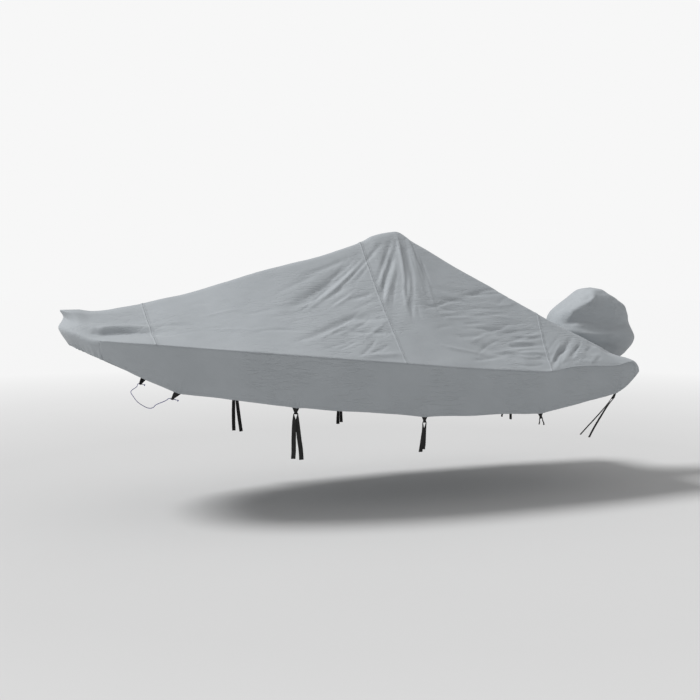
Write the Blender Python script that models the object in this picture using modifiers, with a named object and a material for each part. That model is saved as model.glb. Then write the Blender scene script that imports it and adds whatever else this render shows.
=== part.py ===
"""Fitted boat cover with its motor hood, webbing tie loops and ties, as it sits on a small open boat.

Units are metres. +X runs to the stern, +Y to starboard and +Z up. The origin is on the inner face of
the cloth under the peak, where the boat's console holds the cover up. The boat itself is not modelled,
so the cover is hollow. Breadths in the tables are half breadths, because port mirrors starboard.
"""

import math
from collections import namedtuple

import bmesh
import bpy
from mathutils import Vector

CLOTH = 0.003
WEBBING = 0.002
SEAM_GAP = 0.0020
ROW_SPACING = 0.24
CORNER_ROWS = 0.045
EDGE_LAP = 0.0058
CELL = 0.118
JOIN = 0.00005
CLOTH_GREY = (0.33, 0.36, 0.38)
BLACK = (0.012, 0.012, 0.012)
BLUE = (0.05, 0.05, 0.22)

# One row for each cross section of the starboard half, from the middle of the bow, round the boat, to
# the middle of the transom. centre is on the middle line, shoulder is the lip of the bow, the rounding
# of the ridge or the hip behind the peak, edge is the gunwale edge and hem is the bottom of the skirt.
# sag is how far the face between shoulder and edge hangs inside a straight line.
Section = namedtuple(
    "Section",
    "centre_x centre_z shoulder_x shoulder_y shoulder_z edge_x edge_y edge_z hem_x hem_y hem_z sag",
)
SECTIONS = [
    Section(-2.950, -0.712, -3.132, 0.000, -0.690, -3.150, 0.000, -0.852, -3.035, 0.000, -1.010, 0.050),
    Section(-2.930, -0.715, -3.084, 0.095, -0.706, -3.116, 0.190, -0.868, -3.008, 0.170, -1.026, 0.042),
    Section(-2.900, -0.720, -3.004, 0.135, -0.730, -3.030, 0.345, -0.902, -2.950, 0.310, -1.056, 0.022),
    Section(-2.850, -0.723, -2.885, 0.130, -0.745, -2.918, 0.469, -0.940, -2.880, 0.425, -1.092, 0.008),
    Section(-2.740, -0.714, -2.750, 0.110, -0.735, -2.760, 0.573, -0.960, -2.735, 0.532, -1.160, 0.006),
    Section(-2.590, -0.692, -2.600, 0.090, -0.711, -2.600, 0.652, -0.971, -2.580, 0.604, -1.242, 0.010),
    Section(-2.430, -0.666, -2.440, 0.070, -0.684, -2.455, 0.713, -0.981, -2.440, 0.663, -1.306, 0.012),
    Section(-2.240, -0.616, -2.240, 0.055, -0.634, -2.240, 0.785, -1.000, -2.240, 0.732, -1.385, 0.015),
    Section(-1.930, -0.546, -1.930, 0.045, -0.562, -1.930, 0.874, -1.027, -1.930, 0.815, -1.428, 0.022),
    Section(-1.500, -0.412, -1.500, 0.040, -0.430, -1.500, 0.958, -1.065, -1.500, 0.895, -1.495, 0.030),
    Section(-1.150, -0.318, -1.150, 0.040, -0.338, -1.140, 1.010, -1.098, -1.150, 0.948, -1.537, 0.034),
    Section(-0.800, -0.230, -0.800, 0.040, -0.252, -0.770, 1.037, -1.132, -0.780, 0.978, -1.572, 0.036),
    Section(-0.390, -0.094, -0.390, 0.042, -0.120, -0.400, 1.051, -1.166, -0.420, 0.991, -1.612, 0.036),
    Section(-0.260, -0.036, -0.260, 0.046, -0.064, -0.240, 1.054, -1.181, -0.250, 0.997, -1.630, 0.032),
    Section(-0.080, -0.004, -0.080, 0.050, -0.030, -0.050, 1.057, -1.200, -0.050, 0.998, -1.643, 0.030),
    Section(0.020, 0.000, 0.020, 0.048, -0.032, 0.060, 1.058, -1.211, 0.060, 0.998, -1.648, 0.030),
    Section(0.150, -0.088, 0.150, 0.096, -0.108, 0.180, 1.057, -1.221, 0.180, 0.997, -1.650, 0.030),
    Section(0.337, -0.218, 0.337, 0.177, -0.226, 0.350, 1.056, -1.235, 0.350, 0.996, -1.651, 0.030),
    Section(0.648, -0.426, 0.648, 0.321, -0.424, 0.650, 1.053, -1.258, 0.660, 0.993, -1.656, 0.028),
    Section(0.959, -0.628, 0.959, 0.466, -0.619, 0.910, 1.050, -1.275, 0.920, 0.990, -1.664, 0.024),
    Section(1.200, -0.782, 1.200, 0.578, -0.772, 1.060, 1.047, -1.279, 1.080, 0.985, -1.652, 0.020),
    Section(1.420, -0.920, 1.420, 0.680, -0.902, 1.310, 1.031, -1.246, 1.350, 0.964, -1.609, 0.016),
    Section(1.620, -1.036, 1.620, 0.773, -1.012, 1.560, 1.013, -1.246, 1.620, 0.947, -1.567, 0.012),
    Section(1.820, -1.148, 1.820, 0.866, -1.125, 1.800, 0.998, -1.256, 1.850, 0.932, -1.514, 0.008),
    Section(1.940, -1.200, 1.950, 0.922, -1.174, 1.965, 0.984, -1.226, 1.985, 0.921, -1.460, 0.004),
    Section(1.985, -1.214, 2.015, 0.915, -1.188, 2.060, 0.950, -1.228, 2.125, 0.905, -1.340, 0.002),
    Section(2.005, -1.220, 2.040, 0.820, -1.198, 2.095, 0.860, -1.230, 2.165, 0.830, -1.338, 0.000),
    Section(2.020, -1.226, 2.055, 0.550, -1.214, 2.115, 0.580, -1.240, 2.180, 0.570, -1.352, 0.000),
    Section(2.030, -1.230, 2.062, 0.260, -1.222, 2.125, 0.270, -1.246, 2.178, 0.270, -1.330, 0.000),
    Section(2.030, -1.230, 2.062, 0.000, -1.222, 2.125, 0.000, -1.246, 2.168, 0.000, -1.292, 0.000),
]
BOW_CORNER = 3.3
SEAM_1 = 6.0
SEAM_2 = 12.0
SEAM_3 = 20.0
STERN_CORNER = 24.6
STERN_MIDDLE = len(SECTIONS) - 1.0
SKIRT_BULGE = 0.008
SKIRT_CELLS = 4
FEWEST_COLUMNS = 8
NEAR = 0.2

# Broad folds of the deck cloth in plan. Each runs from start to end as a soft ridge (height above zero)
# or trough (height below zero) of this half width, and fades over its ends.
Fold = namedtuple("Fold", "start_x start_y end_x end_y height half_width")
FOLDS = [
    Fold(-2.90, 0.300, -2.42, 0.430, 0.014, 0.080),
    Fold(-2.88, 0.400, -2.44, 0.520, -0.020, 0.080),
    Fold(-0.40, 0.100, -1.10, 0.450, -0.016, 0.120),
    Fold(-0.12, 0.120, -0.28, 0.550, -0.014, 0.110),
    Fold(0.08, 0.120, -0.02, 0.480, 0.012, 0.100),
]
FOLD_FADE = 0.18

# Rings of the motor hood from its hem to its crown. height is on the ring's own middle, slope tips the
# ring towards the stern, and corner squares it up from an ellipse (2) towards a box (5).
Ring = namedtuple("Ring", "height slope middle_x half_length half_width corner")
HOOD_RINGS = [
    Ring(-1.190, -0.20, 2.205, 0.335, 0.195, 2.6),
    Ring(-1.130, -0.16, 2.210, 0.400, 0.235, 2.8),
    Ring(-1.060, -0.12, 2.205, 0.450, 0.274, 3.0),
    Ring(-1.000, -0.08, 2.200, 0.468, 0.286, 3.2),
    Ring(-0.940, -0.04, 2.195, 0.462, 0.264, 3.4),
    Ring(-0.885, -0.02, 2.192, 0.448, 0.238, 3.4),
    Ring(-0.800, -0.02, 2.197, 0.412, 0.236, 3.6),
    Ring(-0.730, 0.00, 2.215, 0.358, 0.230, 3.6),
    Ring(-0.650, 0.00, 2.222, 0.248, 0.215, 3.4),
    Ring(-0.590, 0.00, 2.212, 0.156, 0.190, 3.0),
    Ring(-0.545, 0.00, 2.212, 0.090, 0.140, 2.6),
    Ring(-0.525, 0.00, 2.212, 0.000, 0.000, 2.0),
]
HOOD_SIDES = 28

# Tie loops: place along the hem, and how far the foot of the loop is pulled forward, outward and down.
Loop = namedtuple("Loop", "place_x forward outward drop")
LOOPS = [
    Loop(-2.290, 0.055, -0.012, 0.080),
    Loop(-1.352, 0.000, 0.000, 0.060),
    Loop(-0.200, 0.000, 0.000, 0.060),
    Loop(0.980, -0.010, 0.000, 0.058),
    Loop(1.862, 0.030, -0.015, 0.062),
]
LOOP_WIDTH = 0.036
LOOP_FOOT_WIDTH = 0.022
LOOP_SPREAD = 0.013
LOOP_SEWN = 0.028
# How far inside the hem's outer face the loop's foot and its two sewn plies are.
FOOT_INSIDE = 0.011
PLY_INSIDE = (0.0064, 0.0098)
# The sides of the loop from its sewn end to the eye: share of the way down and share of the width.
LOOP_SIDE = [(0.4, 0.9), (0.75, 0.72)]
LOOP_EYE = 0.0090
EYE_ABOVE_FOOT = 0.010
EYE_BENDS = 6

# Ties: which loop each hangs in, and the run of its two ends below the loop's foot. Columns are
# the place aft of the foot, inboard of it and below it, and the width of the webbing there.
TieRow = namedtuple("TieRow", "aft inboard below width")
TIES = {
    2: (
        [
            TieRow(-0.014, 0.002, 0.060, 0.032),
            TieRow(-0.017, 0.004, 0.180, 0.038),
            TieRow(-0.018, 0.006, 0.300, 0.038),
            TieRow(-0.020, 0.016, 0.372, 0.038),
        ],
        [
            TieRow(0.016, 0.008, 0.060, 0.032),
            TieRow(0.028, 0.012, 0.180, 0.038),
            TieRow(0.044, 0.014, 0.300, 0.038),
            TieRow(0.052, 0.026, 0.386, 0.038),
        ],
    ),
    3: (
        [
            TieRow(-0.012, 0.004, 0.060, 0.022),
            TieRow(-0.016, 0.010, 0.130, 0.030),
            TieRow(-0.022, 0.016, 0.200, 0.034),
            TieRow(-0.026, 0.026, 0.256, 0.036),
        ],
        [
            TieRow(0.012, 0.010, 0.060, 0.022),
            TieRow(0.010, 0.018, 0.130, 0.030),
            TieRow(0.008, 0.024, 0.190, 0.034),
            TieRow(0.006, 0.034, 0.238, 0.036),
        ],
    ),
    4: (
        [
            TieRow(-0.016, 0.000, 0.020, 0.010),
            TieRow(-0.019, -0.001, 0.034, 0.012),
            TieRow(-0.022, -0.001, 0.050, 0.014),
        ],
        [
            TieRow(0.022, 0.001, 0.020, 0.010),
            TieRow(0.031, 0.000, 0.038, 0.012),
            TieRow(0.034, -0.001, 0.060, 0.014),
        ],
    ),
    5: (
        [
            TieRow(-0.045, 0.040, 0.070, 0.016),
            TieRow(-0.110, 0.100, 0.180, 0.018),
            TieRow(-0.170, 0.160, 0.280, 0.018),
            TieRow(-0.212, 0.205, 0.355, 0.018),
        ],
        [
            TieRow(-0.012, 0.046, 0.070, 0.020),
            TieRow(-0.050, 0.108, 0.190, 0.028),
            TieRow(-0.082, 0.160, 0.300, 0.028),
            TieRow(-0.103, 0.200, 0.390, 0.028),
        ],
    ),
}
TIE_ARCH = 0.0180
TIE_NARROW = 0.008
ARCH_BELOW_FOOT = 0.002
TIE_APART = 0.0030
ARCH_BENDS = 8

CORD = 0.006
CORD_STEP = 0.030
# The cord under the bow: its starboard half from the middle plane, as the place to starboard and the
# rise above its lowest run, which lies this far forward of the loop's eye and below it.
CORD_ROUTE = [
    (0.000, 0.000),
    (0.250, 0.006),
    (0.450, 0.034),
    (0.570, 0.070),
]
CORD_FORWARD = 0.110
CORD_BELOW = 0.125
# Its last stretch, through the eye, as places forward of the eye, inboard of it and below it.
CORD_END = [
    (0.062, 0.034, 0.045),
    (0.036, 0.008, 0.012),
    (0.014, 0.000, 0.000),
    (-0.014, 0.000, 0.000),
    (-0.036, 0.000, 0.000),
]
KNOT = 0.009
KNOT_GAP = 0.0004


def clear_scene():
    for obj in list(bpy.data.objects):
        bpy.data.objects.remove(obj, do_unlink=True)


def smooth(before, start, end, after, f):
    """A curve through start and end that leaves towards its neighbours."""
    return 0.5 * (
        2 * start
        + (end - before) * f
        + (2 * before - 5 * start + 4 * end - after) * f * f
        + (3 * start - before - 3 * end + after) * f ** 3
    )


def to_port(section):
    """The same section on the other side of the boat."""
    return section._replace(
        shoulder_y=-section.shoulder_y, edge_y=-section.edge_y, hem_y=-section.hem_y
    )


def section_at(place):
    """The columns of SECTIONS at a place between two rows; the ends run on round to port."""
    last = len(SECTIONS) - 1
    place = min(max(place, 0.0), float(last))
    low = min(int(place), last - 1)
    before = SECTIONS[low - 1] if low else to_port(SECTIONS[1])
    after = SECTIONS[low + 2] if low + 2 <= last else to_port(SECTIONS[last - 1])
    columns = zip(before, SECTIONS[low], SECTIONS[low + 1], after)
    return Section(*(smooth(a, b, c, d, place - low) for a, b, c, d in columns))


def fold_height(x, y):
    height = 0.0
    for fold in FOLDS:
        start = Vector((fold.start_x, fold.start_y))
        run = Vector((fold.end_x, fold.end_y)) - start
        length = run.length
        along = (Vector((x, y)) - start).dot(run) / length
        off = (Vector((x, y)) - start - run * along / length).length
        ends = min(along + FOLD_FADE, length + FOLD_FADE - along) / FOLD_FADE
        if off < fold.half_width and ends > 0:
            across = 0.5 + 0.5 * math.cos(math.pi * off / fold.half_width)
            height += fold.height * across * min(ends, 1.0)
    return height


def inward_of(section, place):
    """The way that the cloth between shoulder and edge sags."""
    ahead, behind = section_at(place - NEAR), section_at(place + NEAR)
    down = Vector(
        (
            section.edge_x - section.shoulder_x,
            section.edge_y - section.shoulder_y,
            section.edge_z - section.shoulder_z,
        )
    )
    if place < NEAR:
        along = Vector((0, 1, 0))
    elif place > STERN_MIDDLE - NEAR:
        along = Vector((0, -1, 0))
    else:
        along = Vector((behind.edge_x - ahead.edge_x, behind.edge_y - ahead.edge_y, 0))
    return down.cross(along).normalized()


def deck_point(place, across):
    """A point of the starboard deck: across runs from 0 on the middle line, by 1 on the shoulder, to 2."""
    s = section_at(place)
    centre = Vector((s.centre_x, 0, s.centre_z))
    shoulder = Vector((s.shoulder_x, s.shoulder_y, s.shoulder_z))
    edge = Vector((s.edge_x, s.edge_y, s.edge_z))
    if across <= 1:
        point = centre.lerp(shoulder, across)
    else:
        point = shoulder.lerp(edge, across - 1)
        point += inward_of(s, place) * s.sag * math.sin(math.pi * (across - 1))
        point.z += fold_height(point.x, point.y) * math.sin(math.pi * (across - 1)) ** 0.5
    point.z += CLOTH
    return point


def skirt_point(place, down):
    """A point of the starboard skirt: down runs from 0 on the gunwale edge to 1 on the hem."""
    s = section_at(place)
    edge = Vector((s.edge_x, s.edge_y, s.edge_z + CLOTH))
    hem = Vector((s.hem_x, s.hem_y, s.hem_z))
    out = -inward_of(s, place)
    out.z = 0
    if out.length > 0:
        out.normalize()
    return edge.lerp(hem, down) + out * SKIRT_BULGE * math.sin(math.pi * down)


def on_middle(point, place):
    """Points of the first and last sections lie on the middle plane."""
    if place < 1e-6 or place > STERN_MIDDLE - 1e-6:
        point.y = 0
    return point


def material(name, colour, roughness):
    made = bpy.data.materials.get(name) or bpy.data.materials.new(name)
    made.use_nodes = True
    shader = made.node_tree.nodes["Principled BSDF"]
    shader.inputs["Base Color"].default_value = (*colour, 1)
    shader.inputs["Roughness"].default_value = roughness
    shader.inputs["Metallic"].default_value = 0
    return made


def add_object(name, data, collection, finish):
    obj = bpy.data.objects.new(name, data)
    collection.objects.link(obj)
    data.materials.append(finish)
    return obj


def add_mesh(name, bm, collection, finish):
    mesh = bpy.data.meshes.new(name)
    bm.to_mesh(mesh)
    bm.free()
    mesh.shade_smooth()
    return add_object(name, mesh, collection, finish)


def add_grid(bm, columns, rows, place):
    """Adds a grid whose points place(u, v) puts where they belong, with u and v from 0 to 1."""
    made = bmesh.ops.create_grid(bm, x_segments=columns, y_segments=rows, size=1)["verts"]
    for vert in made:
        vert.co = place((vert.co.x + 1) / 2, (vert.co.y + 1) / 2)


def thicken(obj, thickness, offset):
    solid = obj.modifiers.new("Solidify", "SOLIDIFY")
    solid.thickness = thickness
    solid.offset = offset
    solid.use_even_offset = offset != 0
    solid.use_rim = True


def stations(start, end):
    """How many cells of about CELL fit along the gunwale edge between two places."""
    steps = 40
    points = [skirt_point(start + (end - start) * i / steps, 0) for i in range(steps + 1)]
    return max(2, round(sum((b - a).length for a, b in zip(points, points[1:])) / CELL))


# The stretch of a deck panel whose cloth runs on down to the hem, and its number of cells down.
Flap = namedtuple("Flap", "start end down")


def deck_panel(name, collection, finish, start, end, inner, outer, flap=None):
    """A deck panel between two places, mirrored about the middle line.

    inner and outer are the cells from the middle line to the shoulder and on to the edge.
    """
    columns = max(stations(start, end), FEWEST_COLUMNS)
    knee, ahead = end, columns
    if flap:
        knee = flap.end if flap.start == start else flap.start
        ahead = round(columns * (knee - start) / (end - start))

    def along(u):
        """The place of a column, one of which falls at the knee, where the flap ends."""
        column = u * columns
        if column <= ahead:
            return start + (knee - start) * column / ahead
        return knee + (end - knee) * (column - ahead) / (columns - ahead)

    def drop(u, v):
        place = flap.start + (flap.end - flap.start) * u
        return on_middle(skirt_point(place, v), place)

    bm = bmesh.new()
    add_grid(bm, columns, inner, lambda u, v: on_middle(deck_point(along(u), v), along(u)))
    add_grid(bm, columns, outer, lambda u, v: on_middle(deck_point(along(u), 1 + v), along(u)))
    if flap:
        add_grid(bm, ahead if flap.start == start else columns - ahead, flap.down, drop)
    bmesh.ops.remove_doubles(bm, verts=bm.verts, dist=JOIN)
    obj = add_mesh(name, bm, collection, finish)
    mirror = obj.modifiers.new("Mirror", "MIRROR")
    mirror.use_axis = (False, True, False)
    mirror.use_clip = True
    mirror.merge_threshold = JOIN
    thicken(obj, CLOTH, -1)
    return obj


def skirt_panel(name, collection, finish, side):
    """The long skirt below the gunwale edge, on one side: side is 1 to starboard and -1 to port."""

    def place(u, v):
        where = BOW_CORNER + (STERN_CORNER - BOW_CORNER) * u
        down = v if side > 0 else 1 - v
        lap = EDGE_LAP / (skirt_point(where, 0) - skirt_point(where, 1)).length
        point = skirt_point(where, lap + (1 - lap) * down)
        point.y *= side
        return point

    bm = bmesh.new()
    add_grid(bm, stations(BOW_CORNER, STERN_CORNER), SKIRT_CELLS, place)
    obj = add_mesh(name, bm, collection, finish)
    thicken(obj, CLOTH, -1)
    return obj


def hood(name, collection, finish):
    """The motor hood: a dome whose rings follow the table, open at its hem."""
    bm = bmesh.new()
    levels = len(HOOD_RINGS) - 1
    bmesh.ops.create_uvsphere(bm, u_segments=HOOD_SIDES, v_segments=2 * levels, radius=1)
    below = [vert for vert in bm.verts if vert.co.z < -1e-4]
    bmesh.ops.delete(bm, geom=below, context="VERTS")
    for vert in bm.verts:
        level = math.asin(min(1.0, vert.co.z)) / (math.pi / 2) * levels
        ring = HOOD_RINGS[round(level)]
        around = math.atan2(vert.co.y, vert.co.x)
        c, s = math.cos(around), math.sin(around)
        x = ring.half_length * math.copysign(abs(c) ** (2 / ring.corner), c)
        y = ring.half_width * math.copysign(abs(s) ** (2 / ring.corner), s)
        vert.co = (ring.middle_x + x, y, ring.height + ring.slope * x)
    bmesh.ops.recalc_face_normals(bm, faces=bm.faces)
    obj = add_mesh(name, bm, collection, finish)
    thicken(obj, CLOTH, -1)
    return obj


def strip(name, collection, finish, path, side):
    """Webbing along a path of (centre, across, width), mirrored to port where side is -1."""
    bm = bmesh.new()
    count = len(path) - 1

    def place(u, v):
        centre, across, width = path[round(u * count)]
        point = centre + across.normalized() * width * (v - 0.5)
        point.y *= side
        return point

    add_grid(bm, count, 1, place)
    obj = add_mesh(name, bm, collection, finish)
    thicken(obj, WEBBING, 0)
    return obj


def hem_place(x):
    """The place along the tables where the hem is at this x, by halving."""
    low, high = BOW_CORNER, STERN_CORNER
    for _ in range(40):
        middle = (low + high) / 2
        if section_at(middle).hem_x < x:
            low = middle
        else:
            high = middle
    return (low + high) / 2


def hem_frame(loop):
    """The hem's outer edge at a loop, with the ways aft, outward and up along the skirt."""
    place = hem_place(loop.place_x)
    hem = skirt_point(place, 1)
    aft = (skirt_point(place + 0.1, 1) - skirt_point(place - 0.1, 1)).normalized()
    up = (skirt_point(place, 0.8) - hem).normalized()
    out = up.cross(aft).normalized()
    if out.y < 0:
        out = -out
    return hem, aft, out, up


def loop_eye(loop):
    """The foot of a loop, the way down to it from the hem and the way outward across its eye."""
    hem, aft, out, up = hem_frame(loop)
    flat_out = Vector((out.x, out.y, 0)).normalized()
    foot = hem - out * FOOT_INSIDE - aft * loop.forward + flat_out * loop.outward
    foot.z -= loop.drop
    down = (foot - hem).normalized()
    eye_out = aft.cross(down).normalized()
    if eye_out.dot(out) < 0:
        eye_out = -eye_out
    return foot, down, eye_out


def tie_loop(name, collection, finish, loop, side):
    """A webbing loop sewn inside the hem: two plies that start apart and meet round the eye."""
    hem, aft, out, up = hem_frame(loop)
    foot, down, eye_out = loop_eye(loop)
    middle = foot - down * EYE_ABOVE_FOOT

    def ply(inside, sign):
        sewn = hem - out * inside - aft * LOOP_SPREAD * sign
        eye = middle + eye_out * LOOP_EYE * sign
        sides = [(sewn.lerp(eye, share), aft, LOOP_WIDTH * width) for share, width in LOOP_SIDE]
        top = [(sewn + up * LOOP_SEWN, aft, LOOP_WIDTH), (sewn + up * WEBBING, aft, LOOP_WIDTH)]
        return top + sides + [(eye, aft, LOOP_FOOT_WIDTH)]

    bend = []
    for i in range(1, EYE_BENDS):
        turn = math.pi * i / EYE_BENDS
        around = eye_out * math.cos(turn) + down * math.sin(turn)
        bend.append((middle + around * LOOP_EYE, aft, LOOP_FOOT_WIDTH))
    path = ply(PLY_INSIDE[0], 1) + bend + ply(PLY_INSIDE[1], -1)[::-1]
    return strip(name, collection, finish, path, side)


def tie(name, collection, finish, loop, ends, side):
    """A webbing tie through the eye of a loop, with its two free ends hanging from it."""
    hem, aft, out, up = hem_frame(loop)
    foot, down, eye_out = loop_eye(loop)
    flat_aft = Vector((aft.x, aft.y, 0)).normalized()
    inboard = Vector((flat_aft.y, -flat_aft.x, 0))
    below = Vector((0, 0, -1))
    arch_middle = foot + down * ARCH_BELOW_FOOT

    def leg(rows, sign):
        """One hanging end from the arch down, as (centre, across, width) with across pointing aft."""
        last = arch_middle + flat_aft * TIE_ARCH * sign
        top = foot - eye_out * TIE_APART * sign
        centres = [top + flat_aft * row.aft + inboard * row.inboard + below * row.below for row in rows]
        made = []
        for i, row in enumerate(rows):
            ahead = centres[min(i + 1, len(centres) - 1)]
            behind = centres[i - 1] if i else last
            across = (ahead - behind).cross(eye_out).normalized()
            if across.dot(flat_aft) < 0:
                across = -across
            made.append((centres[i], across, row.width))
        return made

    arch = []
    for i in range(ARCH_BENDS + 1):
        turn = math.pi * i / ARCH_BENDS
        around = -flat_aft * math.cos(turn) - down * math.sin(turn)
        centre = arch_middle + around * TIE_ARCH + eye_out * TIE_APART * math.cos(turn)
        arch.append((centre, -around, TIE_NARROW))
    # The edge of the band nearest the arch's middle stays on the same side all along it.
    second = [(centre, -across, width) for centre, across, width in leg(ends[1], 1)]
    return strip(name, collection, finish, leg(ends[0], -1)[::-1] + arch + second, side)


def cord_tube(name, collection, finish, points):
    curve = bpy.data.curves.new(name, "CURVE")
    curve.dimensions = "3D"
    curve.bevel_depth = CORD / 2
    curve.bevel_resolution = 2
    curve.use_fill_caps = True
    spline = curve.splines.new("POLY")
    spline.points.add(len(points) - 1)
    for point, where in zip(spline.points, points):
        point.co = (*where, 1)
    return add_object(name, curve, collection, finish)


def cord_points():
    """The cord under the bow, from the port eye to the starboard one."""
    hem, aft, out, up = hem_frame(LOOPS[0])
    foot, down, eye_out = loop_eye(LOOPS[0])
    eye = foot - down * EYE_ABOVE_FOOT
    half = [Vector((eye.x - CORD_FORWARD, y, eye.z - CORD_BELOW + rise)) for y, rise in CORD_ROUTE]
    half += [eye - aft * forward - out * inboard - up * below for forward, inboard, below in CORD_END]
    route = [Vector((p.x, -p.y, p.z)) for p in reversed(half[1:])] + half
    points = []
    last = len(route) - 1
    for low in range(last):
        near = [route[max(low - 1, 0)], route[low], route[low + 1], route[min(low + 2, last)]]
        steps = max(1, round((near[2] - near[1]).length / CORD_STEP))
        points += [smooth(*near, i / steps) for i in range(steps)]
    return points + [route[-1]]


def knot(name, collection, finish, middle):
    bm = bmesh.new()
    bmesh.ops.create_uvsphere(bm, u_segments=12, v_segments=8, radius=KNOT)
    bmesh.ops.translate(bm, verts=bm.verts, vec=middle)
    return add_mesh(name, bm, collection, finish)


def main():
    clear_scene()
    cover = bpy.data.collections.new("boat_cover")
    bpy.context.scene.collection.children.link(cover)

    gap = SEAM_GAP / 2 / ROW_SPACING
    bow_flap = Flap(0, BOW_CORNER - CORNER_ROWS, 3)
    stern_flap = Flap(STERN_CORNER + CORNER_ROWS, STERN_MIDDLE, 2)
    for name, start, end, inner, outer, flap in (
        ("bow_panel", 0, SEAM_1 - gap, 2, 5, bow_flap),
        ("foredeck_panel", SEAM_1 + gap, SEAM_2 - gap, 1, 7, None),
        ("midship_panel", SEAM_2 + gap, SEAM_3 - gap, 2, 7, None),
        ("stern_panel", SEAM_3 + gap, STERN_MIDDLE, 4, 3, stern_flap),
    ):
        deck_panel(name, cover, material(name, CLOTH_GREY, 0.85), start, end, inner, outer, flap)
    hood("motor_hood", cover, material("motor_hood", CLOTH_GREY, 0.85))

    cord = cord_points()
    cord_tube("under_bow_cord", cover, material("under_bow_cord", BLUE, 0.6), cord)
    cord_ends = {-1: (cord[0], cord[1]), 1: (cord[-1], cord[-2])}

    for side, hand in ((-1, "port"), (1, "starboard")):
        name = f"side_panel_{hand}"
        skirt_panel(name, cover, material(name, CLOTH_GREY, 0.85), side)
        for number, loop in enumerate(LOOPS, 1):
            name = f"tie_loop_{hand}_{number}"
            tie_loop(name, cover, material(name, BLACK, 0.7), loop, side)
        for number, ends in TIES.items():
            name = f"tie_{hand}_{number}"
            tie(name, cover, material(name, BLACK, 0.7), LOOPS[number - 1], ends, side)
        end, behind = cord_ends[side]
        middle = end + (end - behind).normalized() * (KNOT + KNOT_GAP)
        name = f"cord_knot_{hand}"
        knot(name, cover, material(name, BLUE, 0.6), middle)


main()
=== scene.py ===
import math
from collections import namedtuple

import bmesh
import bpy
import numpy as np
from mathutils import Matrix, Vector


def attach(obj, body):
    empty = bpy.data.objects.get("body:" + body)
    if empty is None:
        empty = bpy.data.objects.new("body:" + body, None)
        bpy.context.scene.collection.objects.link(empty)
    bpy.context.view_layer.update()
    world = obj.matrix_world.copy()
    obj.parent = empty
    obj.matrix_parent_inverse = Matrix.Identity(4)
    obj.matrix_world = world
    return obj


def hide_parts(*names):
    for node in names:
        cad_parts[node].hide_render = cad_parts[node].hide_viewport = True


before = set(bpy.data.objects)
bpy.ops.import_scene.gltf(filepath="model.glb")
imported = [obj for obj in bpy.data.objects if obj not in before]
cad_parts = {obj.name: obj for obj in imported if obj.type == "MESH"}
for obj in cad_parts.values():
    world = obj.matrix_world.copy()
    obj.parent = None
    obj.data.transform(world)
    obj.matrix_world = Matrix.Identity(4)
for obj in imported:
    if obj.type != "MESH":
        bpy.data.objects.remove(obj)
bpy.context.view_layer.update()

# Fitted cover for a small open boat, with its motor hood, sewn webbing loops, ties and the cord under
# the bow. Metres; +X to the stern, +Y to starboard, +Z up; the origin is inside the cloth at the peak.

CLOTH = 0.0026
CELL = 0.0112
BOW_CELL = 0.010
PORT, STARBOARD = -1, 1

# How far the cloth's outer face lies above the rows of the cut, and how far the skirt swells below its edge.
ABOVE_CUT = 0.003
SKIRT_SWELL = 0.008

# Heights of the broad and of the small unevenness, on the deck, the skirt and the hood.
DECK_SLOW, DECK_QUICK = 0.0030, 0.0006
SKIRT_SLOW, SKIRT_QUICK = 0.0032, 0.0007
HOOD_SLOW, HOOD_QUICK = 0.0060, 0.0028
FLAP_SLOW = 0.004
CREASE_STRENGTH = 1.7
WRINKLE_BEND = 0.03

# In places, which count the rows of the cut: the unevenness fades towards the middle of the bow and of
# the transom, and a side panel runs on under its neighbours.
END_FADE = 0.6
SKIRT_RUNS_ON = 0.02

# Seams of the deck: how high and broad the felled cloth stands, and the close rows that shape it.
SEAM_RISE, SEAM_BREADTH, SEAM_SLOPE = 0.0028, 0.014, 0.005
CLOSE_ROWS = (0.004, 0.008, 0.012, 0.016, 0.020)
CLOSE_ROWS_REACH = 0.022

# The deck's lip over the skirt, the skirt's rows from its top, and the hem's rows from its end.
LIP_DROPS = np.array([0.003, 0.006, 0.0105])
LIP_FROM_SEAM = 0.008
SKIRT_TOP = 0.0045
SKIRT_EVEN_TO = 0.036
SKIRT_ROWS = 32
HEM_ROWS = np.array([0.030, 0.0255, 0.0235, 0.018, 0.010, 0.003, 0])
HEM_RISE, HEM_BREADTH, HEM_STEP = 0.0011, 0.0248, 0.0015
HEM_WANDER = 0.003
LOOP_PUCKER, LOOP_DRAG = 0.0045, 0.006

# The flaps at bow and stern: their turned hem, and the folds that its cord gathers.
FLAP_HEM_RISE, FLAP_HEM = 0.0016, 0.024
GATHER_REACH, GATHER_PITCH = 0.065, 0.052
BOW_GATHER, STERN_GATHER, HOOD_GATHER = 0.0085, 0.0035, 0.004

# Rounds of easing of the cross sections, how far the sewing map counts from a seam, and how near points meet.
DECK_EASINGS, EDGE_EASINGS = 10, 110
MAP_REACH = 0.05
MEET = 0.0002

# ---------------------------------------------------------------- cut of the cover

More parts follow.
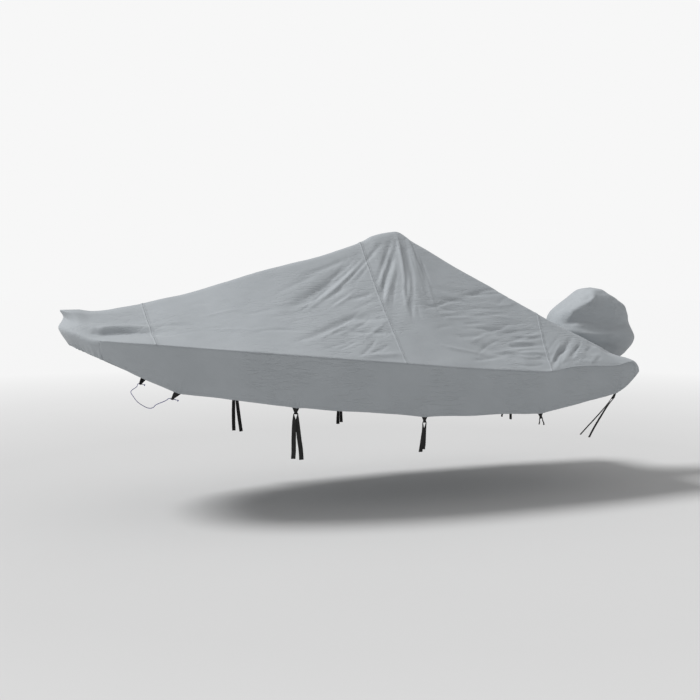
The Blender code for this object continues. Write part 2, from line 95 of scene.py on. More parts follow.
# One row for each cross section of the starboard half, from the middle of the bow to the middle of
# the transom: middle line, shoulder, gunwale edge, hem, and how far the cloth sags between them.
SECTIONS = np.array([
    (-2.950, -0.712, -3.128, 0.000, -0.714, -3.150, 0.000, -0.852, -3.035, 0.000, -1.010, 0.050),
    (-2.930, -0.715, -3.080, 0.095, -0.722, -3.116, 0.190, -0.868, -3.008, 0.170, -1.026, 0.042),
    (-2.900, -0.720, -3.004, 0.135, -0.730, -3.030, 0.345, -0.902, -2.950, 0.310, -1.056, 0.022),
    (-2.850, -0.723, -2.885, 0.130, -0.745, -2.918, 0.469, -0.940, -2.880, 0.425, -1.092, 0.008),
    (-2.740, -0.714, -2.750, 0.110, -0.735, -2.760, 0.573, -0.960, -2.735, 0.532, -1.160, 0.006),
    (-2.590, -0.692, -2.600, 0.090, -0.711, -2.600, 0.652, -0.971, -2.580, 0.604, -1.242, 0.010),
    (-2.430, -0.666, -2.440, 0.070, -0.684, -2.455, 0.713, -0.981, -2.440, 0.663, -1.306, 0.012),
    (-2.240, -0.616, -2.240, 0.055, -0.634, -2.240, 0.785, -1.000, -2.240, 0.732, -1.385, 0.015),
    (-1.930, -0.546, -1.930, 0.045, -0.562, -1.930, 0.874, -1.027, -1.930, 0.815, -1.428, 0.022),
    (-1.500, -0.412, -1.500, 0.040, -0.430, -1.500, 0.958, -1.065, -1.500, 0.895, -1.495, 0.030),
    (-1.150, -0.318, -1.150, 0.040, -0.338, -1.140, 1.010, -1.098, -1.150, 0.948, -1.537, 0.034),
    (-0.800, -0.230, -0.800, 0.040, -0.252, -0.770, 1.037, -1.132, -0.780, 0.978, -1.572, 0.036),
    (-0.390, -0.094, -0.390, 0.042, -0.120, -0.400, 1.051, -1.166, -0.420, 0.991, -1.612, 0.036),
    (-0.260, -0.036, -0.260, 0.046, -0.064, -0.240, 1.054, -1.181, -0.250, 0.997, -1.630, 0.032),
    (-0.080, 0.008, -0.080, 0.050, -0.024, -0.050, 1.057, -1.200, -0.050, 0.998, -1.643, 0.030),
    (0.020, 0.012, 0.020, 0.048, -0.026, 0.060, 1.058, -1.211, 0.060, 0.998, -1.648, 0.030),
    (0.150, -0.088, 0.150, 0.096, -0.108, 0.180, 1.057, -1.221, 0.180, 0.997, -1.650, 0.030),
    (0.337, -0.218, 0.337, 0.177, -0.226, 0.350, 1.056, -1.235, 0.350, 0.996, -1.651, 0.030),
    (0.648, -0.426, 0.648, 0.321, -0.424, 0.650, 1.053, -1.258, 0.660, 0.993, -1.656, 0.028),
    (0.959, -0.628, 0.959, 0.466, -0.619, 0.910, 1.050, -1.275, 0.920, 0.990, -1.664, 0.024),
    (1.200, -0.782, 1.200, 0.578, -0.772, 1.060, 1.047, -1.279, 1.080, 0.985, -1.652, 0.020),
    (1.420, -0.920, 1.420, 0.680, -0.902, 1.310, 1.031, -1.246, 1.350, 0.964, -1.609, 0.016),
    (1.620, -1.036, 1.620, 0.773, -1.012, 1.560, 1.013, -1.246, 1.620, 0.947, -1.567, 0.012),
    (1.820, -1.148, 1.820, 0.866, -1.125, 1.800, 0.998, -1.256, 1.850, 0.932, -1.514, 0.008),
    (1.940, -1.200, 1.950, 0.922, -1.174, 1.965, 0.984, -1.226, 1.985, 0.921, -1.460, 0.004),
    (1.985, -1.214, 2.015, 0.915, -1.188, 2.060, 0.950, -1.228, 2.125, 0.905, -1.340, 0.002),
    (2.005, -1.220, 2.040, 0.820, -1.198, 2.095, 0.860, -1.230, 2.165, 0.830, -1.338, 0.000),
    (2.020, -1.226, 2.055, 0.550, -1.214, 2.115, 0.580, -1.240, 2.180, 0.570, -1.352, 0.000),
    (2.030, -1.230, 2.062, 0.260, -1.222, 2.125, 0.270, -1.246, 2.178, 0.270, -1.330, 0.000),
    (2.030, -1.230, 2.062, 0.000, -1.222, 2.125, 0.000, -1.246, 2.168, 0.000, -1.292, 0.000),
])
BREADTHS = [3, 6, 9]
LAST = len(SECTIONS) - 1
BOW_CORNER = 3.3
SEAM_1, SEAM_2, SEAM_3 = 6.0, 12.0, 20.0
STERN_CORNER = 24.6

# Broad folds of the deck cloth in plan, as in the CAD.
Fold = namedtuple("Fold", "start_x start_y end_x end_y height half_width")
FOLDS = [
    Fold(-2.90, 0.300, -2.42, 0.430, 0.014, 0.080),
    Fold(-2.88, 0.400, -2.44, 0.520, -0.020, 0.080),
    Fold(-0.40, 0.100, -1.10, 0.450, -0.010, 0.120),
    Fold(-0.12, 0.120, -0.28, 0.550, -0.014, 0.110),
    Fold(0.08, 0.120, -0.02, 0.480, 0.012, 0.100),
]
FOLD_FADE = 0.18

# Creases of the deck cloth, in plan over the port half: where each runs, how far it stands up (or dips,
# below zero), half its width, and how much it leans to its outboard side.
Crease = namedtuple("Crease", "route height half_width lean")


def creases_of(*rows):
    return [Crease(*row) for row in rows]


CREASES = creases_of(
    ([(-2.90, 0.34), (-2.66, 0.385), (-2.44, 0.44)], 0.010, 0.022, 0.5),
    ([(-2.90, 0.38), (-2.66, 0.430), (-2.44, 0.49)], -0.011, 0.017, 0.0),
    ([(-2.44, 0.45), (-2.33, 0.42), (-2.04, 0.47)], -0.005, 0.028, 0.0),
    ([(-0.46, 0.15), (-0.67, 0.22), (-1.28, 0.45)], -0.010, 0.040, 0.2),
    ([(-0.46, 0.18), (-1.10, 0.48)], 0.008, 0.022, 0.4),
    ([(-0.65, 0.31), (-1.01, 0.42)], -0.006, 0.024, 0.0),
    ([(-0.56, 0.11), (-1.05, 0.16)], -0.005, 0.018, 0.0),
    ([(-0.89, 0.17), (-1.31, 0.27)], -0.004, 0.022, 0.0),
    ([(-0.43, 0.43), (-0.69, 0.45)], -0.006, 0.017, 0.5),
    ([(-0.43, 0.60), (-0.76, 0.62), (-1.08, 0.74), (-1.35, 0.84)], -0.008, 0.028, 0.3),
    ([(-0.42, 0.65), (-0.69, 0.63)], -0.006, 0.020, 0.0),
    ([(-0.42, 0.78), (-0.83, 0.73)], -0.006, 0.020, 0.0),
    ([(-0.42, 0.97), (-0.83, 1.01)], 0.006, 0.020, 0.3),
    ([(-0.08, 0.08), (-0.38, 0.36)], -0.008, 0.022, 0.0),
    ([(-0.08, 0.09), (-0.39, 0.43)], 0.008, 0.022, 0.3),
    ([(-0.12, 0.16), (-0.38, 0.48)], -0.010, 0.036, 0.0),
    ([(-0.15, 0.26), (-0.39, 0.55)], 0.009, 0.026, 0.3),
    ([(-0.03, 0.07), (-0.07, 0.26), (-0.12, 0.45)], 0.008, 0.015, 0.4),
    ([(0.02, 0.11), (-0.03, 0.43)], -0.008, 0.032, 0.0),
    ([(0.15, 0.22), (0.14, 0.41)], -0.004, 0.014, 0.0),
    ([(-0.21, 0.10), (-0.40, 0.17)], -0.005, 0.017, 0.0),
    ([(0.12, 0.66), (0.58, 0.61)], 0.004, 0.015, 0.2),
    ([(0.20, 0.81), (0.60, 0.76)], -0.004, 0.017, 0.0),
    ([(0.29, 0.84), (0.64, 0.92), (0.81, 0.97)], -0.006, 0.034, 0.0),
    ([(0.51, 0.73), (1.00, 0.77)], -0.005, 0.034, 0.0),
    ([(0.70, 0.85), (1.18, 0.81)], -0.007, 0.020, 0.4),
    ([(0.17, 0.43), (0.61, 0.44)], -0.003, 0.024, 0.0),
    ([(1.19, 0.90), (1.40, 0.85)], -0.007, 0.018, 0.4),
    ([(1.11, 0.99), (1.50, 0.75)], -0.006, 0.018, 0.3),
    ([(1.60, 0.80), (1.74, 0.84)], -0.005, 0.015, 0.0),
    ([(1.72, 0.84), (1.86, 0.88)], -0.005, 0.015, 0.0),
)
# Creases of the port skirt: places along the boat and heights, and the same three columns.
SKIRT_CREASES = creases_of(
    ([(0.75, -1.58), (0.90, -1.67)], -0.003, 0.016, 0.0),
    ([(0.82, -1.56), (0.97, -1.66)], 0.003, 0.014, 0.0),
    ([(0.88, -1.55), (1.03, -1.65)], -0.003, 0.014, 0.0),
    ([(-1.40, -1.40), (-1.36, -1.49)], 0.003, 0.016, 0.0),
    ([(-0.24, -1.54), (-0.20, -1.64)], 0.003, 0.016, 0.0),
    ([(1.70, -1.42), (1.86, -1.51)], 0.004, 0.018, 0.0),
)

# Families of fine wrinkles over the port half: where they lie, which way they run (degrees from aft
# towards the middle line), how long and how many they are, and their height and half width.
Family = namedtuple("Family", "first_x last_x first_y last_y turn sway length count height half_width")
FAMILIES = [
    Family(0.10, 1.00, 0.42, 0.98, 6, 6, 0.44, 36, 0.0030, 0.0105),
    Family(0.70, 1.16, 0.72, 1.00, 4, 6, 0.30, 12, 0.0034, 0.0105),
    Family(1.20, 1.46, 0.80, 0.98, 30, 8, 0.30, 11, 0.0032, 0.0105),
    Family(1.40, 1.90, 0.84, 0.95, 12, 12, 0.14, 9, 0.0030, 0.0120),
    Family(-1.00, -0.48, 0.12, 0.98, 20, 8, 0.42, 24, 0.0034, 0.0110),
    Family(-2.86, -2.42, 0.14, 0.52, -15, 9, 0.24, 7, 0.0020, 0.0130),
    Family(-2.30, -1.20, 0.20, 0.80, -5, 10, 0.44, 10, 0.0018, 0.0160),
    Family(-0.30, -0.04, 0.14, 0.60, 62, 8, 0.36, 11, 0.0032, 0.0115),
    Family(0.02, 0.14, 0.14, 0.46, 84, 6, 0.34, 7, 0.0024, 0.0115),
]

random = np.random.default_rng(17)


def to_port(row):
    """The same section on the other side of the boat."""
    row = row.copy()
    row[BREADTHS] *= -1
    return row


ROWS = np.vstack([to_port(SECTIONS[1]), SECTIONS, to_port(SECTIONS[-2])])


def smooth(before, start, end, after, f):
    """The curve between start and end that also heeds what lies before and after them."""
    return 0.5 * (
        2 * start
        + (end - before) * f
        + (2 * before - 5 * start + 4 * end - after) * f**2
        + (3 * start - before - 3 * end + after) * f**3
    )


def between_rows(rows, places):
    """The columns of a table at places along it. It has a row more before its first and after its last."""
    last = len(rows) - 3
    places = np.clip(places, 0, last)
    low = np.minimum(places.astype(int), last - 1)
    return smooth(*(rows[low + i] for i in range(4)), (places - low)[..., None])


def section_at(places):
    return between_rows(ROWS, places)


def unit(vectors):
    return vectors / np.maximum(np.linalg.norm(vectors, axis=-1, keepdims=True), 1e-9)


def points_at(places):
    """Middle line, shoulder, edge and hem points of the starboard half, and the sag."""
    row = section_at(places)
    middle = np.stack([row[..., 0], np.zeros_like(row[..., 0]), row[..., 1]], -1)
    return middle, row[..., 2:5], row[..., 5:8], row[..., 8:11], row[..., 11]


def inward_at(places):
    """The way that the cloth between shoulder and edge sags."""
    along = points_at(places + 0.2)[2] - points_at(places - 0.2)[2]
    along[..., 2] = 0
    along[places < 0.2] = (0, 1, 0)
    along[places > LAST - 0.2] = (0, -1, 0)
    _, shoulder, edge, _, _ = points_at(places)
    return unit(np.cross(edge - shoulder, along))


def fold_height(x, y):
    height = np.zeros_like(x)
    for fold in FOLDS:
        run = np.array([fold.end_x - fold.start_x, fold.end_y - fold.start_y])
        length = np.hypot(*run)
        away = np.stack([x - fold.start_x, y - fold.start_y], -1)
        along = away @ run / length
        off = np.linalg.norm(away - along[..., None] * run / length, axis=-1)
        ends = np.clip(np.minimum(along + FOLD_FADE, length + FOLD_FADE - along) / FOLD_FADE, 0, 1)
        across = np.where(off < fold.half_width, 0.5 + 0.5 * np.cos(np.pi * off / fold.half_width), 0)
        height += fold.height * across * ends
    return height


def deck_point(places, across):
    """Starboard deck: across runs from 0 on the middle line, by 1 on the shoulder, to 2 on the edge."""
    middle, shoulder, edge, _, sag = points_at(places)
    f = np.clip(across - 1, 0, 1)
    bow = np.sin(np.pi * f)
    inner = middle + (shoulder - middle) * np.clip(across, 0, 1)[..., None]
    outer = shoulder + (edge - shoulder) * f[..., None] + inward_at(places) * (sag * bow)[..., None]
    point = np.where((across <= 1)[..., None], inner, outer)
    point[..., 2] += fold_height(point[..., 0], point[..., 1]) * np.sqrt(np.maximum(bow, 0)) + ABOVE_CUT
    return point


def skirt_point(places, down):
    """Starboard skirt: down runs from 0 on the gunwale edge to 1 on the hem."""
    _, _, edge, hem, _ = points_at(places)
    out = -inward_at(places)
    out[..., 2] = 0
    edge = edge + (0, 0, ABOVE_CUT)
    return edge + (hem - edge) * down[..., None] + unit(out) * (SKIRT_SWELL * np.sin(np.pi * down))[..., None]


def spaced(start, end, cell, line):
    """Places from start to end that lie evenly along a line of the cover."""
    fine = np.linspace(start, end, 1500)
    steps = np.linalg.norm(np.diff(line(fine), axis=0), axis=1)
    run = np.concatenate([[0], np.cumsum(steps)])
    count = max(2, round(run[-1] / cell))
    return np.interp(np.linspace(0, run[-1], count + 1), run, fine)


def crease_height(u, v, creases):
    """How far the creases lift the cloth at places u, v of their plan."""
    height = np.zeros_like(u)
    for crease in creases:
        route = np.array(crease.route, float)
        runs = np.diff(route, axis=0)
        lengths = np.linalg.norm(runs, axis=1)
        total = lengths.sum()
        nearest = np.full(u.shape, 1e9)
        side = np.zeros_like(u)
        share = np.zeros_like(u)
        before = 0.0
        for start, run, length in zip(route, runs, lengths):
            away = np.stack([u - start[0], v - start[1]], -1)
            t = np.clip(away @ run / length**2, 0, 1)
            gap = away - t[..., None] * run
            off = np.linalg.norm(gap, axis=-1)
            closer = off < nearest
            nearest = np.where(closer, off, nearest)
            cross = (run[0] * gap[..., 1] - run[1] * gap[..., 0]) / length
            side = np.where(closer, np.sign(cross) * np.sign(-run[0] * np.sign(start[1] + 1e-9)), side)
            share = np.where(closer, (before + t * length) / total, share)
            before += length
        swell = np.clip(share / 0.18, 0.35, 1) * np.clip((1 - share) / 0.40, 0, 1) ** 0.7
        d = nearest / crease.half_width
        bell = np.exp(-d * d)
        height += crease.height * swell * (bell + crease.lean * side * d * bell)
    return height


def loosened(creases):
    """The starboard creases: like the port ones, but each a little elsewhere."""
    made = []
    for crease in creases:
        shift = random.normal(scale=0.030, size=2)
        turn = random.normal(scale=0.018, size=2)
        last = len(crease.route) - 1
        route = [
            (u + shift[0] + turn[0] * i / last, v + shift[1] * 0.5 + turn[1] * i / last)
            for i, (u, v) in enumerate(crease.route)
        ]
        made.append(crease._replace(route=route, height=crease.height * random.uniform(0.6, 1.15)))
    return made


def on_side(creases, side):
    return [crease._replace(route=[(u, v * side) for u, v in crease.route]) for crease in creases]


def wrinkled(families):
    """Fine bent wrinkles scattered as the families say."""
    made = []
    for family in families:
        for _ in range(family.count):
            x = random.uniform(family.first_x, family.last_x)
            y = random.uniform(family.first_y, family.last_y)
            turn = math.radians(family.turn + random.normal() * family.sway)
            length = family.length * random.uniform(0.5, 1.2)
            bend = random.normal() * WRINKLE_BEND * length
            way = np.array([math.cos(turn), -math.sin(turn)])
            across = np.array([way[1], -way[0]])
            start = np.array([x, y]) - way * length / 2
            shares = (0, 0.35, 0.7, 1)
            route = [tuple(start + way * length * f + across * bend * f * (1 - f) * 4) for f in shares]
            height = family.height * random.uniform(0.5, 1.3) * random.choice([-1, -1, 1])
            made.append(Crease(route, height, family.half_width * random.uniform(0.85, 1.3), 0.4))
    return made


DECK_CREASES = on_side(CREASES + wrinkled(FAMILIES), PORT)
DECK_CREASES += on_side(loosened(CREASES) + wrinkled(FAMILIES), STARBOARD)
SIDE_CREASES = {PORT: SKIRT_CREASES, STARBOARD: loosened(SKIRT_CREASES)}

# ---------------------------------------------------------------- cloth pieces


def close_rows(places, seam, way, reach):
    """Adds close rows beside a seam, on the panel's side of it. reach is metres for each place."""
    kept = [p for p in places if p == seam or (p - seam) * way > CLOSE_ROWS_REACH / reach]
    return np.array(sorted(kept + [seam + way * step / reach for step in CLOSE_ROWS]))


def normals_of(points):
    return unit(np.cross(np.gradient(points, axis=0), np.gradient(points, axis=1)))


def roundness(places):
    """Where the cloth runs softly over the gunwale edge: round the bow and behind the aft seam."""
    bow = np.clip((3.6 - places) / 0.9, 0, 1)
    stern = np.clip((places - SEAM_3 - 0.1) / 1.6, 0, 1)
    return np.maximum(bow, stern)


def eased(half, weights, rounds):
    """Rounds the cloth across the boat where the weights say, with its hem kept."""
    for _ in range(rounds):
        before = np.concatenate([half[:, 1:2] * (1, -1, 1), half[:, :-1]], axis=1)
        after = np.concatenate([half[:, 1:], half[:, -1:]], axis=1)
        half = half + weights[..., None] * (0.25 * (before + after) - 0.5 * half)
    return half


SKIRT_CELLS = 40
BOW_CELLS, FORE_CELLS, MID_CELLS, STERN_CELLS = 72, 112, 124, 92


def half_profile(places, cells):
    """Starboard half of the cover at each place: cells to the gunwale edge, then SKIRT_CELLS to the hem."""
    s, w = np.meshgrid(places, np.linspace(0, 2, 160), indexing="ij")
    half = deck_point(s, w)
    run = runs_of(half, 1)
    even = np.stack([at_runs(r, h, np.linspace(0, r[-1], cells + 1)) for r, h in zip(run, half)])
    s, d = np.meshgrid(places, np.linspace(0, 1, SKIRT_CELLS + 1), indexing="ij")
    whole = np.concatenate([even, skirt_point(s, d)[:, 1:]], axis=1)
    column = np.arange(whole.shape[1])
    weights = np.broadcast_to((column < cells) * 1.0, whole.shape[:2])
    whole = eased(whole, weights, DECK_EASINGS)
    near_edge = np.clip(1 - (np.abs(column - cells) - 14) / 8, 0, 1)
    near_edge = near_edge * (column < whole.shape[1] - 1)
    return eased(whole, roundness(places)[:, None] * near_edge[None, :], EDGE_EASINGS)


def mesh_object(name, bm, finish):
    mesh = bpy.data.meshes.new(name)
    bm.to_mesh(mesh)
    bm.free()
    mesh.shade_smooth()
    mesh.materials.append(finish)
    obj = bpy.data.objects.new(name, mesh)
    bpy.context.scene.collection.objects.link(obj)
    return obj


def finished(name, bm, finish, node, thickness=CLOTH, offset=-1.0):
    """A finished piece that replaces a node. A thickness makes its sheet a wall."""
    obj = mesh_object(name, bm, finish)
    if thickness:
        solid = obj.modifiers.new("Wall", "SOLIDIFY")
        solid.thickness = thickness
        solid.offset = offset
        solid.use_rim = True
    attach(obj, "root")
    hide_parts(node)
    return obj


def top_upward(bm):
    """Turns the faces of a cloth piece outward, so that its top faces up."""
    bmesh.ops.recalc_face_normals(bm, faces=bm.faces)
    top = max(bm.faces, key=lambda face: face.calc_center_median().z)
    if top.normal.z < 0:
        bmesh.ops.reverse_faces(bm, faces=bm.faces)


def mapped(bm, tables):
    """Lays the UV maps on the grids: cloth (metres along and across) and sewing (along, from the seam)."""
    mark = bm.verts.layers.int.get("row")
    for name, table in zip(("cloth", "sewing"), tables):
        layer = bm.loops.layers.uv.new(name)
        for face in bm.faces:
            for loop in face.loops:
                loop[layer].uv = table[loop.vert[mark]]


def lay(bm, points, cloth, sewing, store):
    """Adds a grid of points and keeps, for each corner, its two map places."""
    mark = bm.verts.layers.int.get("row") or bm.verts.layers.int.new("row")
    rows, columns = points.shape[:2]
    first = len(store[0])
    for vert in bmesh.ops.create_grid(bm, x_segments=rows - 1, y_segments=columns - 1, size=1)["verts"]:
        i = round((vert.co.x + 1) / 2 * (rows - 1))
        j = round((vert.co.y + 1) / 2 * (columns - 1))
        vert[mark] = first + i * columns + j
        vert.co = points[i, j]
    store[0].extend(map(tuple, cloth.reshape(-1, 2)))
    store[1].extend(map(tuple, sewing.reshape(-1, 2)))


def runs_of(points, axis):
    """How far along the table each point lies."""
    steps = np.linalg.norm(np.diff(points, axis=axis), axis=2)
    pad = [(1, 0), (0, 0)] if axis == 0 else [(0, 0), (1, 0)]
    return np.cumsum(np.pad(steps, pad), axis=axis)


def at_runs(run, line, places):
    """Points of a line at places along it."""
    return np.stack([np.interp(places, run, line[:, k]) for k in range(3)], -1)


def relief(points, normals, seams_lift, fade):
    """Creases and unevenness of the deck cloth along its normals."""
    height = CREASE_STRENGTH * crease_height(points[..., 0], points[..., 1], DECK_CREASES)
    height = height + DECK_SLOW * SLOW(points) + DECK_QUICK * QUICK(points)
    return points + normals * (height * fade + seams_lift)[..., None]


def field(size, waves=14):
    """A fixed uneven field, the same on every panel, so that neighbours meet."""
    ways = random.normal(size=(waves, 3))
    ways /= np.linalg.norm(ways, axis=1, keepdims=True)
    ways *= math.pi / size * random.uniform(0.6, 1.6, size=(waves, 1))
    starts = random.uniform(0, 2 * math.pi, size=waves)

    def at(points):
        return np.sin(points @ ways.T + starts).sum(axis=-1) / math.sqrt(waves)

    return at


SLOW = field(0.28)
QUICK = field(0.075)
field(0.024)  # a third draw, laid on nothing, which keeps the later draws in their order


def lip_rows(places, below, edge_points, side):
    """Rows that turn the deck cloth down over the skirt, from the edge."""
    down = unit(below[:, 2] - below[:, 0])
    out = -inward_at(places)
    out[..., 2] = 0
    down, out = down * (1, side, 1), unit(out) * (1, side, 1)
    return edge_points[:, None] + down[:, None] * LIP_DROPS[None, :, None] + out[:, None] * CLOTH


def deck_panel(name, finish, start, end, cells, knee=None, cell=CELL):
    """One deck panel, sewn where it doesn't end the cover. knee is where its skirt gives way to a flap."""
    edge_line = lambda s: 0.5 * (deck_point(s, np.full_like(s, 2.0)) + deck_point(s, np.full_like(s, 1.0)))
    places = spaced(start, end, cell, edge_line)
    at_bow, at_stern = start == 0, end == LAST
    if knee:
        places[np.argmin(np.abs(places - knee))] = knee
    reaches = {}
    for seam in [place for place in (start, end) if 0 < place < LAST]:
        near = points_at(np.array([seam - 0.05, seam + 0.05]))[1]
        reaches[seam] = np.linalg.norm(near[1] - near[0]) / 0.1
        places = close_rows(places, seam, 1 if seam == start else -1, reaches[seam])
    from_seam = {seam: np.abs(places - seam) * reach for seam, reach in reaches.items()}
    whole = half_profile(places, cells)
    table = np.concatenate([whole[:, cells:0:-1] * (1, -1, 1), whole[:, : cells + 1]], axis=1)
    lift = sum(SEAM_RISE * np.clip((SEAM_BREADTH - off) / SEAM_SLOPE, 0, 1) for off in from_seam.values())
    normals = normals_of(table)
    fade = np.ones_like(places)
    if at_bow:
        fade = np.clip(places / END_FADE, 0, 1)
        normals[0, :, 1] = 0
    if at_stern:
        fade = np.clip((LAST - places) / END_FADE, 0, 1)
        normals[-1, :, 1] = 0
    normals = unit(normals)
    if normals[len(places) // 2, cells, 2] < 0:
        normals = -normals
    edge_fade = np.clip((cells - np.abs(np.arange(-cells, cells + 1))) / 3.0, 0, 1)
    table = relief(table, normals, lift[:, None], fade[:, None] * edge_fade[None, :])
    if at_bow:
        table[0, :, 1] = 0
    if at_stern:
        table[-1, :, 1] = 0
    along, across = runs_of(table, 0), runs_of(table, 1)
    off = np.minimum(np.min(list(from_seam.values()), axis=0), MAP_REACH)
    bm = bmesh.new()
    store = ([], [])
    lay(bm, table, np.stack([along, across], -1), np.stack([across, off[:, None] + 0 * along], -1), store)
    body = np.ones(len(places), bool)
    if knee:
        body = places >= knee if at_bow else places <= knee
    for side, column in ((PORT, 0), (STARBOARD, -1)):
        lips = lip_rows(places[body], whole[body, cells:cells + 4], table[body, column], side)
        lips = np.concatenate([table[body, column][:, None], lips], axis=1)
        if side == STARBOARD:
            lips = lips[:, ::-1]
        run = runs_of(lips, 0)
        sewing = np.stack([run, np.full_like(run, LIP_FROM_SEAM)], -1)
        lay(bm, lips, np.stack([run, runs_of(lips, 1)], -1), sewing, store)
    if knee:
        on = ~body | (places == knee)
        s, d = np.meshgrid(places[on], np.linspace(0, 1, SKIRT_CELLS + 1), indexing="ij")
        for side, column in ((PORT, 0), (STARBOARD, -1)):
            flap = gathered(whole[on, cells:] * (1, side, 1), s, d, at_bow)
            flap[:, 0] = table[on, column]
            flap[0 if at_bow else -1, :, 1] = 0
            if side == PORT:
                flap = flap[:, ::-1]
            run = runs_of(flap, 0)
            down = runs_of(flap, 1)
            from_hem = down if side == PORT else down[:, -1:] - down
            sewing = np.stack([run, np.minimum(from_hem, MAP_REACH)], -1)
            lay(bm, flap, np.stack([run, down], -1), sewing, store)
    bmesh.ops.remove_doubles(bm, verts=bm.verts, dist=MEET)
    mapped(bm, store)
    top_upward(bm)
    return finished(f"{name}_cloth", bm, finish, name)


def gathered(points, s, d, bow):
    """The gathered hem of the bow apron and of the transom flap."""
    x, y = points[..., 0], points[..., 1]
    normals = normals_of(points)
    outward = np.stack([x - (-2.4 if bow else 1.6), y, 0 * x], -1)
    normals = normals * np.sign((normals * outward).sum(-1))[..., None]
    normals[..., 2] *= 0.3
    normals[0 if bow else -1, :, 1] = 0
    normals = unit(normals)
    length = np.linalg.norm(points[:, -1] - points[:, 0], axis=-1)[:, None]
    from_hem = (1 - d) * length
    near = np.exp(-((from_hem / GATHER_REACH) ** 2))
    run = np.arctan2(y, -(x + 2.4)) * 0.6 if bow else y
    folds = np.sin(run * 2 * math.pi / GATHER_PITCH + 1.7 * np.sin(run * 9.0))
    folds = folds * (0.6 + 0.4 * np.sin(run * 23.0))
    broad = FLAP_SLOW * SLOW(points) * np.sin(np.pi * d)
    rim = FLAP_HEM_RISE * (from_hem < FLAP_HEM)
    ends = np.clip((s if bow else LAST - s) / 0.25, 0, 1)
    amount = BOW_GATHER if bow else STERN_GATHER
    return points + normals * ((folds * amount * near + broad) * ends + rim)[..., None]


def skirt_panel(name, finish, side):
    """One side panel: it starts under the lip of the deck cloth and ends in a turned hem."""
    line = lambda s: skirt_point(s, np.zeros_like(s))
    places = spaced(BOW_CORNER - SKIRT_RUNS_ON, STERN_CORNER + SKIRT_RUNS_ON, CELL, line)
    halves = [half_profile(places, cells)[:, cells:] for cells in (BOW_CELLS, STERN_CELLS)]
    half = np.where((places < SEAM_2)[:, None, None], *halves)
    run = runs_of(half, 1)
    hang = [np.linspace(SKIRT_TOP, depth - SKIRT_EVEN_TO, SKIRT_ROWS) for depth in run[:, -1]]
    at = np.concatenate([hang, run[:, -1:] - HEM_ROWS], axis=1)
    points = np.stack([at_runs(*row) for row in zip(run, half, at)])
    hem_off = run[:, -1:] - at
    downs = 1 - hem_off / hem_off.max(axis=1)[:, None]
    normals = normals_of(points)
    normals = normals * np.sign((normals[..., 1]))[..., None]
    x, z = points[..., 0], points[..., 2]
    height = crease_height(x, z, SIDE_CREASES[side])
    inner = np.clip((downs - 0.03) / 0.12, 0, 1)
    signed = points * (1, side, 1)
    height = height + SKIRT_SLOW * SLOW(signed) * inner + SKIRT_QUICK * QUICK(signed) * inner
    height += HEM_RISE * np.clip((HEM_BREADTH - hem_off) / HEM_STEP, 0, 1)
    drag = np.zeros_like(x)
    for loop in LOOPS:
        gap = x - loop.place_x
        near = np.exp(-((gap / 0.055) ** 2)) * np.exp(-((hem_off / 0.10) ** 2))
        height += LOOP_PUCKER * near * np.cos(gap * 2 * math.pi / 0.034 + side)
        drag += LOOP_DRAG * np.exp(-((gap / 0.05) ** 2)) * np.clip(1 - hem_off / 0.12, 0, 1)
    points = points + normals * height[..., None]
    points[..., 2] += HEM_WANDER * np.exp(-hem_off / 0.05) * SLOW(signed * (1, 1, 0)) - drag
    points = points * (1, side, 1)
    along, across = runs_of(points, 0), runs_of(points, 1)
    store = ([], [])
    bm = bmesh.new()
    sewing = np.stack([along, np.minimum(hem_off, MAP_REACH)], -1)
    lay(bm, points, np.stack([along, across], -1), sewing, store)
    mapped(bm, store)
    bmesh.ops.recalc_face_normals(bm, faces=bm.faces)
    bm.faces.ensure_lookup_table()
    if bm.faces[len(bm.faces) // 2].normal.y * side < 0:
        bmesh.ops.reverse_faces(bm, faces=bm.faces)
    return finished(f"{name}_cloth", bm, finish, name)


# ---------------------------------------------------------------- motor hood

# Rings of the motor hood from its hem to its crown.
HOOD_RINGS = np.array([
    (-1.190, -0.20, 2.205, 0.335, 0.195, 2.6),
    (-1.130, -0.16, 2.210, 0.400, 0.235, 2.8),
    (-1.060, -0.12, 2.205, 0.450, 0.288, 3.0),
    (-1.000, -0.08, 2.200, 0.468, 0.300, 3.2),
    (-0.940, -0.04, 2.195, 0.462, 0.254, 3.4),
    (-0.885, -0.02, 2.192, 0.448, 0.218, 3.4),
    (-0.800, -0.02, 2.197, 0.412, 0.226, 3.6),
    (-0.730, 0.00, 2.215, 0.358, 0.230, 3.6),
    (-0.650, 0.00, 2.222, 0.248, 0.215, 3.4),
    (-0.590, 0.00, 2.212, 0.156, 0.190, 3.0),
    (-0.545, 0.00, 2.212, 0.090, 0.140, 2.6),
    (-0.525, 0.00, 2.212, 0.000, 0.000, 2.0),
])
HOOD_ROWS = np.vstack([2 * HOOD_RINGS[0] - HOOD_RINGS[1], HOOD_RINGS, HOOD_RINGS[-2]])
